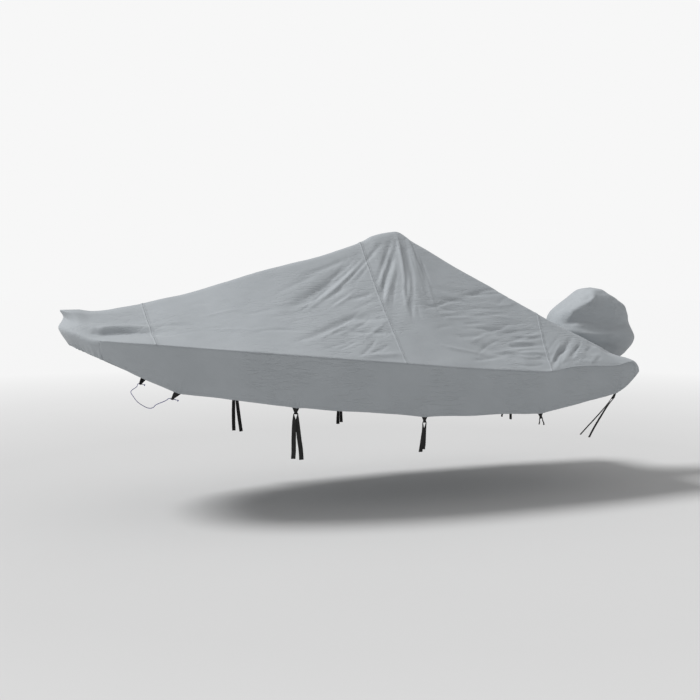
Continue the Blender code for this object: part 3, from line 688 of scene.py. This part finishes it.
# Creases of the hood's port side: places along the boat and heights.
HOOD_CREASES = creases_of(
    ([(2.147, -0.55), (2.10, -0.66), (1.99, -0.71), (1.88, -0.764), (1.79, -0.925)], 0.016, 0.028, 0.3),
    ([(2.02, -0.76), (2.08, -0.71), (2.06, -0.67), (2.13, -0.62)], 0.010, 0.014, 0.4),
    ([(2.05, -0.78), (2.11, -0.72), (2.10, -0.68), (2.17, -0.62)], -0.009, 0.014, 0.0),
    ([(1.79, -0.93), (2.00, -0.90), (2.19, -0.908), (2.376, -0.91), (2.49, -0.85)], 0.012, 0.026, 0.5),
    ([(2.16, -1.06), (2.25, -1.01), (2.38, -1.00)], -0.012, 0.028, 0.0),
    ([(1.86, -0.97), (2.06, -0.96), (2.20, -0.99)], -0.007, 0.020, 0.0),
    ([(1.90, -0.93), (2.02, -0.92), (2.12, -0.95)], 0.006, 0.014, 0.2),
    ([(2.26, -0.60), (2.34, -0.74), (2.36, -0.86)], 0.006, 0.022, 0.3),
    ([(2.00, -1.08), (2.16, -1.07), (2.30, -1.10)], 0.006, 0.018, 0.2),
)


def hood_point(levels, around):
    """A place on the hood: its level among the rings, and how far round it lies."""
    row = between_rows(HOOD_ROWS, levels)
    height, slope, middle, length, width, corner = (row[..., k] for k in range(6))
    c, s = np.cos(around), np.sin(around)
    x = np.maximum(length, 0) * np.sign(c) * np.abs(c) ** (2 / corner)
    y = np.maximum(width, 0) * np.sign(s) * np.abs(s) ** (2 / corner)
    return np.stack([middle + x, y, height + slope * x], -1)


def motor_hood(name, finish):
    around_cells, level_cells = 220, 96
    levels = np.linspace(0, len(HOOD_RINGS) - 1, level_cells + 1)
    around = np.linspace(0, 2 * math.pi, around_cells + 1)
    l, a = np.meshgrid(levels, around, indexing="ij")
    points = hood_point(l, a)
    for _ in range(10):
        ring = points[:, :-1]
        ring = 0.5 * ring + 0.25 * (np.roll(ring, 1, axis=1) + np.roll(ring, -1, axis=1))
        points = np.concatenate([ring, ring[:, :1]], axis=1)
    wrapped = np.concatenate([points[:, -2:-1], points, points[:, 1:2]], axis=1)
    normals = normals_of(wrapped)[:, 1:-1]
    outward = points - (2.2, 0, -1.0)
    normals = normals * np.sign((normals * outward).sum(-1))[..., None]
    normals[-1] = (0, 0, 1)
    x, y, z = (points[..., k] for k in range(3))
    flank = np.clip(np.abs(y) / 0.10, 0, 1)
    port = crease_height(x, z, HOOD_CREASES) * (y < 0) * flank
    starboard = crease_height(x, z, loosened(HOOD_CREASES)) * (y > 0) * flank
    crown = np.clip((len(HOOD_RINGS) - 1 - l) / 2.0, 0, 1)
    hem = np.exp(-(((z + 1.190 + 0.20 * (x - 2.205)) / 0.05) ** 2))
    folds = np.sin(a * 26 + 2.0 * np.sin(a * 3)) * (0.6 + 0.4 * np.sin(a * 7))
    height = (port + starboard + HOOD_SLOW * SLOW(points) + HOOD_QUICK * QUICK(points)) * crown
    height = height + HOOD_GATHER * hem * folds
    points = points + normals * height[..., None]
    points[-1] = points[-1].mean(axis=0)
    points[:, -1] = points[:, 0]
    along, up = runs_of(points, 1), runs_of(points, 0)
    store = ([], [])
    bm = bmesh.new()
    lay(bm, points, np.stack([along, up], -1), np.stack([along, np.minimum(up, MAP_REACH)], -1), store)
    mapped(bm, store)
    bmesh.ops.remove_doubles(bm, verts=bm.verts, dist=MEET)
    top_upward(bm)
    return finished(f"{name}_cloth", bm, finish, name)


# ---------------------------------------------------------------- webbing loops, ties and cord

Loop = namedtuple("Loop", "place_x forward outward drop")
LOOPS = [
    Loop(-2.290, 0.055, -0.012, 0.080),
    Loop(-1.352, 0.000, 0.000, 0.060),
    Loop(-0.200, 0.000, 0.000, 0.060),
    Loop(0.980, -0.010, 0.000, 0.058),
    Loop(1.862, 0.030, -0.015, 0.062),
]
LOOP_WIDTH = 0.036
LOOP_FOOT_WIDTH = 0.022
LOOP_SPREAD = 0.013
LOOP_SEWN = 0.028
FOOT_INSIDE = 0.011
PLY_INSIDE = (0.0064, 0.0098)
LOOP_SIDE = [(0.4, 0.9), (0.75, 0.72)]
LOOP_EYE = 0.0090
EYE_ABOVE_FOOT = 0.010
EYE_BENDS = 10
WEBBING = 0.0018

# Ties by loop number: the two free ends, with columns for the place aft of the loop's foot, inboard
# of it, below it, and the width of the webbing there.
TieRow = namedtuple("TieRow", "aft inboard below width")
TIES = {
    2: (
        [(-0.014, 0.002, 0.060, 0.032), (-0.017, 0.004, 0.180, 0.038),
         (-0.018, 0.006, 0.300, 0.038), (-0.020, 0.016, 0.372, 0.038)],
        [(0.016, 0.008, 0.060, 0.032), (0.028, 0.012, 0.180, 0.038),
         (0.044, 0.014, 0.300, 0.038), (0.052, 0.026, 0.386, 0.038)],
    ),
    3: (
        [(-0.012, 0.004, 0.060, 0.022), (-0.016, 0.010, 0.130, 0.030),
         (-0.022, 0.016, 0.200, 0.034), (-0.026, 0.026, 0.256, 0.036)],
        [(0.012, 0.010, 0.060, 0.022), (0.010, 0.018, 0.130, 0.030),
         (0.008, 0.024, 0.190, 0.034), (0.006, 0.034, 0.238, 0.036)],
    ),
    4: (
        [(-0.016, 0.000, 0.020, 0.010), (-0.019, -0.001, 0.034, 0.012),
         (-0.022, -0.001, 0.050, 0.014)],
        [(0.022, 0.001, 0.020, 0.010), (0.031, 0.000, 0.038, 0.012),
         (0.034, -0.001, 0.060, 0.014)],
    ),
    5: (
        [(-0.045, 0.040, 0.070, 0.016), (-0.110, 0.100, 0.180, 0.018),
         (-0.170, 0.160, 0.280, 0.018), (-0.212, 0.205, 0.355, 0.018)],
        [(-0.012, 0.046, 0.070, 0.020), (-0.050, 0.108, 0.190, 0.028),
         (-0.082, 0.160, 0.300, 0.028), (-0.103, 0.200, 0.390, 0.028)],
    ),
}
TIE_ARCH = 0.0180
TIE_NARROW = 0.008
ARCH_BELOW_FOOT = 0.002
TIE_APART = 0.0030
ARCH_BENDS = 12

CORD = 0.006
CORD_STEP = 0.030
CORD_ROUTE = [(0.000, 0.000), (0.250, 0.006), (0.450, 0.034), (0.570, 0.070)]
CORD_FORWARD = 0.110
CORD_BELOW = 0.125
CORD_END = [
    (0.062, 0.034, 0.045),
    (0.036, 0.008, 0.012),
    (0.014, 0.000, 0.000),
    (-0.014, 0.000, 0.000),
    (-0.036, 0.000, 0.000),
]
KNOT = 0.009
KNOT_GAP = 0.0004
KNOT_BENDS = 60
KNOT_LOBE = 0.205
KNOT_SQUEEZE = 0.92
KNOT_CORE = 0.62


def vector(values):
    return Vector([float(v) for v in values])


def skirt_vector(place, down):
    return vector(skirt_point(np.array([place]), np.array([down]))[0])


def hem_place(x):
    low, high = BOW_CORNER, STERN_CORNER
    for _ in range(40):
        middle = (low + high) / 2
        if section_at(np.array([middle]))[0, 8] < x:
            low = middle
        else:
            high = middle
    return (low + high) / 2


def hem_frame(loop):
    """The hem's outer edge at a loop, with the ways aft, outward and up along the skirt."""
    place = hem_place(loop.place_x)
    hem = skirt_vector(place, 1)
    aft = (skirt_vector(place + 0.1, 1) - skirt_vector(place - 0.1, 1)).normalized()
    up = (skirt_vector(place, 0.8) - hem).normalized()
    out = up.cross(aft).normalized()
    if out.y < 0:
        out = -out
    return hem, aft, out, up


def loop_eye(loop):
    hem, aft, out, _ = hem_frame(loop)
    flat_out = Vector((out.x, out.y, 0)).normalized()
    foot = hem - out * FOOT_INSIDE - aft * loop.forward + flat_out * loop.outward
    foot.z -= loop.drop
    down = (foot - hem).normalized()
    eye_out = aft.cross(down).normalized()
    if eye_out.dot(out) < 0:
        eye_out = -eye_out
    return foot, down, eye_out


def strip(name, finish, path, side):
    """Webbing along a path of (centre, across, width): rounded between its rows, with full edges."""
    centres = np.array([tuple(row[0]) for row in path])
    acrosses = np.array([tuple(row[1].normalized()) for row in path])
    widths = np.array([row[2] for row in path])
    rows = np.concatenate([centres, acrosses, widths[:, None]], axis=1)
    rows = np.vstack([2 * rows[0] - rows[1], rows, 2 * rows[-1] - rows[-2]])
    fine = []
    for low in range(len(rows) - 3):
        length = np.linalg.norm(rows[low + 2, :3] - rows[low + 1, :3])
        steps = max(1, round(length / 0.007))
        near = [rows[low + i] for i in range(4)]
        fine += [smooth(*near, i / steps) for i in range(steps)]
    fine = np.array(fine + [rows[-2]])
    ways = unit(fine[:, 3:6])
    tracks = np.array([-0.5, -0.47, -0.25, 0, 0.25, 0.47, 0.5])
    points = fine[:, None, :3] + ways[:, None] * (fine[:, None, 6:7] * tracks[None, :, None])
    thick = unit(np.cross(np.gradient(fine[:, :3], axis=0), ways))
    run = np.concatenate([[0], np.cumsum(np.linalg.norm(np.diff(fine[:, :3], axis=0), axis=1))])
    cup = 0.0006 * np.sin(run * 61.0 + len(name))
    points = points + thick[:, None] * (cup[:, None] * np.cos(np.pi * tracks)[None, :])[..., None]
    points = points * (1, side, 1)
    flat = np.stack(np.broadcast_arrays(run[:, None], fine[:, 6:7] * tracks[None, :]), -1)
    store = ([], [])
    bm = bmesh.new()
    lay(bm, points, flat, flat, store)
    mapped(bm, store)
    return finished(f"{name}_webbing", bm, finish, name, WEBBING, 0.0)


def tie_loop(name, finish, loop, side):
    """A webbing loop sewn inside the hem: two plies that start apart and meet round the eye."""
    hem, aft, out, up = hem_frame(loop)
    foot, down, eye_out = loop_eye(loop)
    middle = foot - down * EYE_ABOVE_FOOT

    def ply(inside, sign):
        sewn = hem - out * inside - aft * LOOP_SPREAD * sign
        eye = middle + eye_out * LOOP_EYE * sign
        sides = [(sewn.lerp(eye, share), aft, LOOP_WIDTH * width) for share, width in LOOP_SIDE]
        top = [(sewn + up * LOOP_SEWN, aft, LOOP_WIDTH), (sewn + up * 0.002, aft, LOOP_WIDTH)]
        return top + sides + [(eye, aft, LOOP_FOOT_WIDTH)]

    bend = []
    for i in range(1, EYE_BENDS):
        turn = math.pi * i / EYE_BENDS
        around = eye_out * math.cos(turn) + down * math.sin(turn)
        bend.append((middle + around * LOOP_EYE, aft, LOOP_FOOT_WIDTH))
    path = ply(PLY_INSIDE[0], 1) + bend + ply(PLY_INSIDE[1], -1)[::-1]
    return strip(name, finish, path, side)


def tie(name, finish, loop, ends, side):
    """A webbing tie through the eye of a loop, with its two free ends hanging from it."""
    _, aft, _, _ = hem_frame(loop)
    foot, down, eye_out = loop_eye(loop)
    flat_aft = Vector((aft.x, aft.y, 0)).normalized()
    inboard = Vector((flat_aft.y, -flat_aft.x, 0))
    below = Vector((0, 0, -1))
    arch_middle = foot + down * ARCH_BELOW_FOOT

    def leg(rows, sign):
        rows = [TieRow(*row) for row in rows]
        last = arch_middle + flat_aft * TIE_ARCH * sign
        top = foot - eye_out * TIE_APART * sign
        centres = [top + flat_aft * row.aft + inboard * row.inboard + below * row.below for row in rows]
        made = []
        for i, row in enumerate(rows):
            ahead = centres[min(i + 1, len(centres) - 1)]
            behind = centres[i - 1] if i else last
            across = (ahead - behind).cross(eye_out).normalized()
            if across.dot(flat_aft) < 0:
                across = -across
            made.append((centres[i], across, row.width))
        return made

    arch = []
    for i in range(ARCH_BENDS + 1):
        turn = math.pi * i / ARCH_BENDS
        around = -flat_aft * math.cos(turn) - down * math.sin(turn)
        centre = arch_middle + around * TIE_ARCH + eye_out * TIE_APART * math.cos(turn)
        arch.append((centre, -around, TIE_NARROW))
    second = [(centre, -across, width) for centre, across, width in leg(ends[1], 1)]
    return strip(name, finish, leg(ends[0], -1)[::-1] + arch + second, side)


def cord_points():
    """The cord under the bow, from the port eye to the starboard one."""
    _, aft, out, up = hem_frame(LOOPS[0])
    foot, down, _ = loop_eye(LOOPS[0])
    eye = foot - down * EYE_ABOVE_FOOT
    half = [Vector((eye.x - CORD_FORWARD, y, eye.z - CORD_BELOW + rise)) for y, rise in CORD_ROUTE]
    half += [eye - aft * forward - out * inboard - up * below for forward, inboard, below in CORD_END]
    route = [Vector((p.x, -p.y, p.z)) for p in reversed(half[1:])] + half
    points = []
    last = len(route) - 1
    for low in range(last):
        near = [route[max(low - 1, 0)], route[low], route[low + 1], route[min(low + 2, last)]]
        steps = max(1, round((near[2] - near[1]).length / CORD_STEP))
        points += [smooth(*near, i / steps) for i in range(steps)]
    return points + [route[-1]]


def round_curve(name, points, radius, resolution):
    curve = bpy.data.curves.new(name, "CURVE")
    curve.dimensions = "3D"
    curve.bevel_depth = radius
    curve.bevel_resolution = resolution
    spline = curve.splines.new("POLY")
    spline.points.add(len(points) - 1)
    for point, where in zip(spline.points, points):
        point.co = (*where, 1)
    return curve, spline


def cord(name, finish, points):
    curve, spline = round_curve(name, points, CORD / 2, 4)
    curve.use_fill_caps = True
    spline.use_smooth = True
    curve.materials.append(finish)
    obj = bpy.data.objects.new(name, curve)
    bpy.context.scene.collection.objects.link(obj)
    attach(obj, "root")
    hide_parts("under_bow_cord")
    length = sum((b - a).length for a, b in zip(points, points[1:]))
    return obj


def stopper_knot(name, finish, middle, along):
    """An overhand knot pulled tight: a trefoil of cord squeezed into a ball."""
    side = along.cross(Vector((0, 0, 1))).normalized()
    over = side.cross(along).normalized()
    size = KNOT * KNOT_LOBE
    points = []
    for i in range(KNOT_BENDS):
        t = 2 * math.pi * i / KNOT_BENDS
        a = (math.sin(t) + 2 * math.sin(2 * t)) * size
        b = (math.cos(t) - 2 * math.cos(2 * t)) * size
        c = -math.sin(3 * t) * size * 1.5
        points.append(middle + side * a + over * b + along * c)
    curve, spline = round_curve(name, points, CORD / 2 * KNOT_SQUEEZE, 3)
    spline.use_cyclic_u = True
    shape = bpy.data.objects.new(name, curve)
    mesh = bpy.data.meshes.new_from_object(shape)
    bpy.data.objects.remove(shape)
    bm = bmesh.new()
    bm.from_mesh(mesh)
    bmesh.ops.remove_doubles(bm, verts=bm.verts, dist=0.00002)
    made = bmesh.ops.create_uvsphere(bm, u_segments=20, v_segments=12, radius=KNOT * KNOT_CORE)["verts"]
    bmesh.ops.translate(bm, verts=made, vec=middle)
    return finished(f"{name}_braid", bm, finish, name, 0, 0)


# ---------------------------------------------------------------- finishes


class Value:
    """A number that changes over the surface: a socket with the usual operators."""

    def __init__(self, finish, socket):
        self.finish = finish
        self.socket = socket

    def math(self, operation, *others):
        values = [other.socket if isinstance(other, Value) else other for other in others]
        node = self.finish.node("ShaderNodeMath", {"operation": operation}, {0: self.socket})
        for index, value in enumerate(values, 1):
            self.finish.feed(node, index, value)
        return Value(self.finish, node.outputs[0])

    def __add__(self, other):
        return self.math("ADD", other)

    __radd__ = __add__

    def __mul__(self, other):
        return self.math("MULTIPLY", other)

    __rmul__ = __mul__

    def __sub__(self, other):
        return self.math("SUBTRACT", other)

    def __rsub__(self, other):
        return self * -1 + other

    def __pow__(self, other):
        return self.math("POWER", other)

    def sine(self):
        return self.math("SINE")

    def positive(self):
        return self.math("ABSOLUTE")

    def turned(self, size):
        """The place inside a repeat of this size, from 0 to the size."""
        return self.math("FLOORED_MODULO", size)

    def most(self, other):
        return self.math("MAXIMUM", other)

    def spread(self, low, high, to_low=0.0, to_high=1.0):
        """Maps low..high to another range and stops at its ends."""
        node = self.finish.node(
            "ShaderNodeMapRange", {"clamp": True},
            {"Value": self.socket, "From Min": low, "From Max": high, "To Min": to_low, "To Max": to_high},
        )
        return Value(self.finish, node.outputs[0])


class Finish:
    """A material under construction: its Principled shader and the nodes that feed it."""

    def __init__(self, name, **constants):
        self.material = bpy.data.materials.new(name)
        self.material.use_nodes = True
        self.tree = self.material.node_tree
        self.shader = self.tree.nodes["Principled BSDF"]
        for key, value in constants.items():
            self.shader.inputs[key.replace("_", " ")].default_value = value

    def feed(self, node, key, value):
        if isinstance(value, Value):
            value = value.socket
        if isinstance(value, bpy.types.NodeSocket):
            self.tree.links.new(value, node.inputs[key])
        else:
            node.inputs[key].default_value = value

    def node(self, kind, settings=None, sockets=None):
        made = self.tree.nodes.new(kind)
        for key, value in (settings or {}).items():
            setattr(made, key, value)
        for key, value in (sockets or {}).items():
            self.feed(made, key, value)
        return made

    def place(self):
        return self.node("ShaderNodeTexCoord").outputs["Object"]

    def map(self, name):
        """The two numbers of one of the piece's UV maps, in metres."""
        layer = self.node("ShaderNodeUVMap", {"uv_map": name})
        parts = self.node("ShaderNodeSeparateXYZ", None, {0: layer.outputs[0]})
        return Value(self, parts.outputs[0]), Value(self, parts.outputs[1])

    def noise(self, where, size, detail=3.0, rough=0.5):
        made = self.node(
            "ShaderNodeTexNoise", None,
            {"Vector": where, "Scale": 1 / size, "Detail": detail, "Roughness": rough},
        )
        return Value(self, made.outputs["Fac"])

    def drawn_out(self, where, by):
        """The place with each direction scaled, so that what is read there is drawn out."""
        made = self.node("ShaderNodeVectorMath", {"operation": "MULTIPLY"}, {0: where, 1: by})
        return made.outputs["Vector"]

    def blend(self, factor, first, second):
        made = self.node("ShaderNodeMix", {"data_type": "RGBA"}, {0: factor})
        self.feed(made, 6, first)
        self.feed(made, 7, second)
        return made.outputs[2]

    def colour(self, value):
        self.feed(self.shader, "Base Color", value)

    def roughness(self, value):
        self.feed(self.shader, "Roughness", value)

    def raised(self, height, distance=1.0, strength=1.0, over=None):
        """Bump from a height in metres."""
        sockets = {"Height": height, "Distance": distance, "Strength": strength}
        if over is not None:
            sockets["Normal"] = over
        return self.node("ShaderNodeBump", None, sockets).outputs[0]

    def normal(self, value):
        self.feed(self.shader, "Normal", value)


CLOTH_DARK = (0.362, 0.387, 0.408, 1)
CLOTH_PALE = (0.398, 0.424, 0.446, 1)


def cloth_finish():
    """Grey coated polyester: fine plain weave, faint clouding, and two rows of stitches at each sewn edge."""
    finish = Finish("grey_cover_cloth", Sheen_Weight=0.12, Sheen_Roughness=0.5, Specular_IOR_Level=0.30)
    along, across = finish.map("cloth")
    warp = (along * (math.pi / 0.0011)).sine()
    weft = (across * (math.pi / 0.0011)).sine()
    weave = warp * weft
    where = finish.place()
    clouds = finish.noise(where, 0.33, 4.0, 0.55)
    slubs = finish.noise(where, 0.010, 3.0, 0.6)
    grains = finish.noise(where, 0.0028, 2.0, 0.6)
    run, off = finish.map("sewing")
    in_stitch = (run.turned(0.0036) - 0.0018).positive().spread(0.0008, 0.0014, 1.0, 0.0)
    first = (off - 0.004).positive().spread(0.0003, 0.0008, 1.0, 0.0)
    second = (off - 0.021).positive().spread(0.0003, 0.0008, 1.0, 0.0)
    rows = first.most(second)
    thread = rows * in_stitch
    fold = (off - 0.0245).positive().spread(0.0004, 0.0016, 1.0, 0.0)
    crinkles = finish.noise(finish.drawn_out(where, (0.16, 1.0, 1.0)), 0.036, 2.0, 0.5)
    crinkles = (crinkles - 0.5).positive().spread(0.0, 0.08, 1.0, 0.0) ** 2
    crinkles = crinkles * finish.noise(where, 0.45, 2.0, 0.5).spread(0.38, 0.58)
    tone = clouds.spread(0.32, 0.68) * 0.70 + slubs * 0.22 + grains * 0.08
    tone = tone - rows * 0.25
    finish.colour(finish.blend(tone, CLOTH_DARK, CLOTH_PALE))
    finish.roughness(slubs.spread(0.3, 0.7, 0.66, 0.78) + weave * 0.02)
    height = weave * 0.00006 + thread * 0.0005 - rows * 0.0005 - fold * 0.0005 + slubs * 0.0002
    height = height - crinkles * 0.0021
    finish.normal(finish.raised(height))
    return finish.material


def webbing_finish():
    """Black woven webbing: ribs across it and a selvedge along each side."""
    finish = Finish("black_webbing", Specular_IOR_Level=0.35, Sheen_Weight=0.05)
    along, across = finish.map("cloth")
    ribs = (along * (math.pi / 0.0011)).sine()
    yarns = (across * (math.pi / 0.0016)).sine()
    where = finish.place()
    fuzz = finish.noise(where, 0.0012, 2.0, 0.6)
    dust = finish.noise(where, 0.05, 3.0, 0.5)
    weave = ribs * yarns
    tone = dust.spread(0.35, 0.75) * 0.6 + fuzz * 0.4
    finish.colour(finish.blend(tone, (0.0055, 0.0055, 0.0055, 1), (0.020, 0.020, 0.0195, 1)))
    finish.roughness(fuzz.spread(0.3, 0.7, 0.55, 0.75))
    finish.normal(finish.raised(weave * 0.00022 + fuzz * 0.0001))
    return finish.material


def cord_finish():
    """Dull blue braid with a paler fleck."""
    finish = Finish("blue_braid", Specular_IOR_Level=0.3)
    where = finish.place()
    strands = finish.node("ShaderNodeTexVoronoi", None, {"Vector": where, "Scale": 520.0})
    plait = Value(finish, strands.outputs["Distance"])
    fleck = finish.noise(where, 0.006, 3.0, 0.6)
    tone = plait.spread(0.2, 0.8) * 0.5 + fleck.spread(0.45, 0.75) * 0.5
    finish.colour(finish.blend(tone, (0.030, 0.028, 0.170, 1), (0.130, 0.120, 0.400, 1)))
    finish.roughness(fleck.spread(0.3, 0.7, 0.55, 0.7))
    finish.normal(finish.raised(plait * -0.0006))
    return finish.material


# ---------------------------------------------------------------- stage


FLOOR = -2.47
SKY = 0.46
SURROUND = 0.93
FLOOR_GLOW = 0.895
MAIN_LIGHT = 2.65
LIGHT_FROM = (-0.58, 0.22, 0.78)


def set_stage():
    """Pale floor that runs out into a white surround, a soft main light from above the bow, and a sky."""
    floor = Finish("pale_floor", Specular_IOR_Level=0.1, Emission_Strength=1.0)
    tone = floor.noise(floor.place(), 2.0, 2.0, 0.5)
    near = floor.node("ShaderNodeVectorMath", {"operation": "LENGTH"}, {0: floor.place()})
    far = Value(floor, near.outputs["Value"]).spread(5.0, 15.0)
    pale = floor.blend(tone, (0.60, 0.60, 0.60, 1), (0.62, 0.62, 0.62, 1))
    floor.colour(floor.blend(far, pale, (0.0, 0.0, 0.0, 1)))
    floor.roughness(tone.spread(0.0, 1.0, 0.85, 0.9))
    floor.feed(floor.shader, "Emission Color", floor.blend(far, (0, 0, 0, 1), (FLOOR_GLOW,) * 3 + (1,)))
    bm = bmesh.new()
    bmesh.ops.create_circle(bm, cap_ends=True, segments=96, radius=150.0)
    bmesh.ops.translate(bm, verts=bm.verts, vec=(0, 0, FLOOR))
    mesh_object("floor", bm, floor.material)
    world = bpy.data.worlds.new("studio")
    bpy.context.scene.world = world
    world.use_nodes = True
    tree = world.node_tree
    sky = tree.nodes["Background"]
    sky.inputs["Color"].default_value = (1.0, 1.0, 1.0, 1)
    sky.inputs["Strength"].default_value = SKY
    surround = tree.nodes.new("ShaderNodeBackground")
    surround.inputs["Color"].default_value = (1.0, 1.0, 1.0, 1)
    surround.inputs["Strength"].default_value = SURROUND
    seen = tree.nodes.new("ShaderNodeLightPath")
    either = tree.nodes.new("ShaderNodeMixShader")
    tree.links.new(seen.outputs["Is Camera Ray"], either.inputs[0])
    tree.links.new(sky.outputs[0], either.inputs[1])
    tree.links.new(surround.outputs[0], either.inputs[2])
    tree.links.new(either.outputs[0], tree.nodes["World Output"].inputs[0])
    lamp = bpy.data.lights.new("main_light", "SUN")
    lamp.energy = MAIN_LIGHT
    lamp.angle = math.radians(20.0)
    obj = bpy.data.objects.new("main_light", lamp)
    obj.rotation_euler = Vector(LIGHT_FROM).to_track_quat("Z", "Y").to_euler()
    bpy.context.scene.collection.objects.link(obj)


def set_camera():
    lens = bpy.data.cameras.new("camera")
    lens.sensor_width = 36
    lens.lens = 51.55
    lens.clip_end = 200
    camera = bpy.data.objects.new("camera", lens)
    camera.location = (-4.089, -8.694, -0.52)
    turn, pitch = math.radians(22.5), math.radians(3.6)
    ahead = Vector((math.sin(turn) * math.cos(pitch), math.cos(turn) * math.cos(pitch), -math.sin(pitch)))
    camera.rotation_euler = ahead.to_track_quat("-Z", "Y").to_euler()
    bpy.context.scene.collection.objects.link(camera)
    bpy.context.scene.camera = camera


# ---------------------------------------------------------------- making up

set_camera()
bpy.context.scene.view_settings.view_transform = "Standard"

blue = cord_finish()
run = cord_points()
for hand, end, behind in (("port", run[0], run[1]), ("starboard", run[-1], run[-2])):
    along = (end - behind).normalized()
    stopper_knot(f"cord_knot_{hand}", blue, end + along * (KNOT + KNOT_GAP), along)
cord("bow_cord", blue, run)

black = webbing_finish()
for side, hand in ((PORT, "port"), (STARBOARD, "starboard")):
    for number, loop in enumerate(LOOPS, 1):
        tie_loop(f"tie_loop_{hand}_{number}", black, loop, side)
    for number, ends in TIES.items():
        tie(f"tie_{hand}_{number}", black, LOOPS[number - 1], ends, side)

grey = cloth_finish()
GAP = 0.0042
bow = deck_panel("bow_panel", grey, 0, SEAM_1 - GAP, BOW_CELLS, BOW_CORNER, BOW_CELL)
fore = deck_panel("foredeck_panel", grey, SEAM_1 + GAP, SEAM_2 - GAP, FORE_CELLS)
mid = deck_panel("midship_panel", grey, SEAM_2 + GAP, SEAM_3 - GAP, MID_CELLS)
stern = deck_panel("stern_panel", grey, SEAM_3 + GAP, LAST, STERN_CELLS, STERN_CORNER)
port_side = skirt_panel("side_panel_port", grey, PORT)
starboard_side = skirt_panel("side_panel_starboard", grey, STARBOARD)
hood = motor_hood("motor_hood", grey)

set_stage()
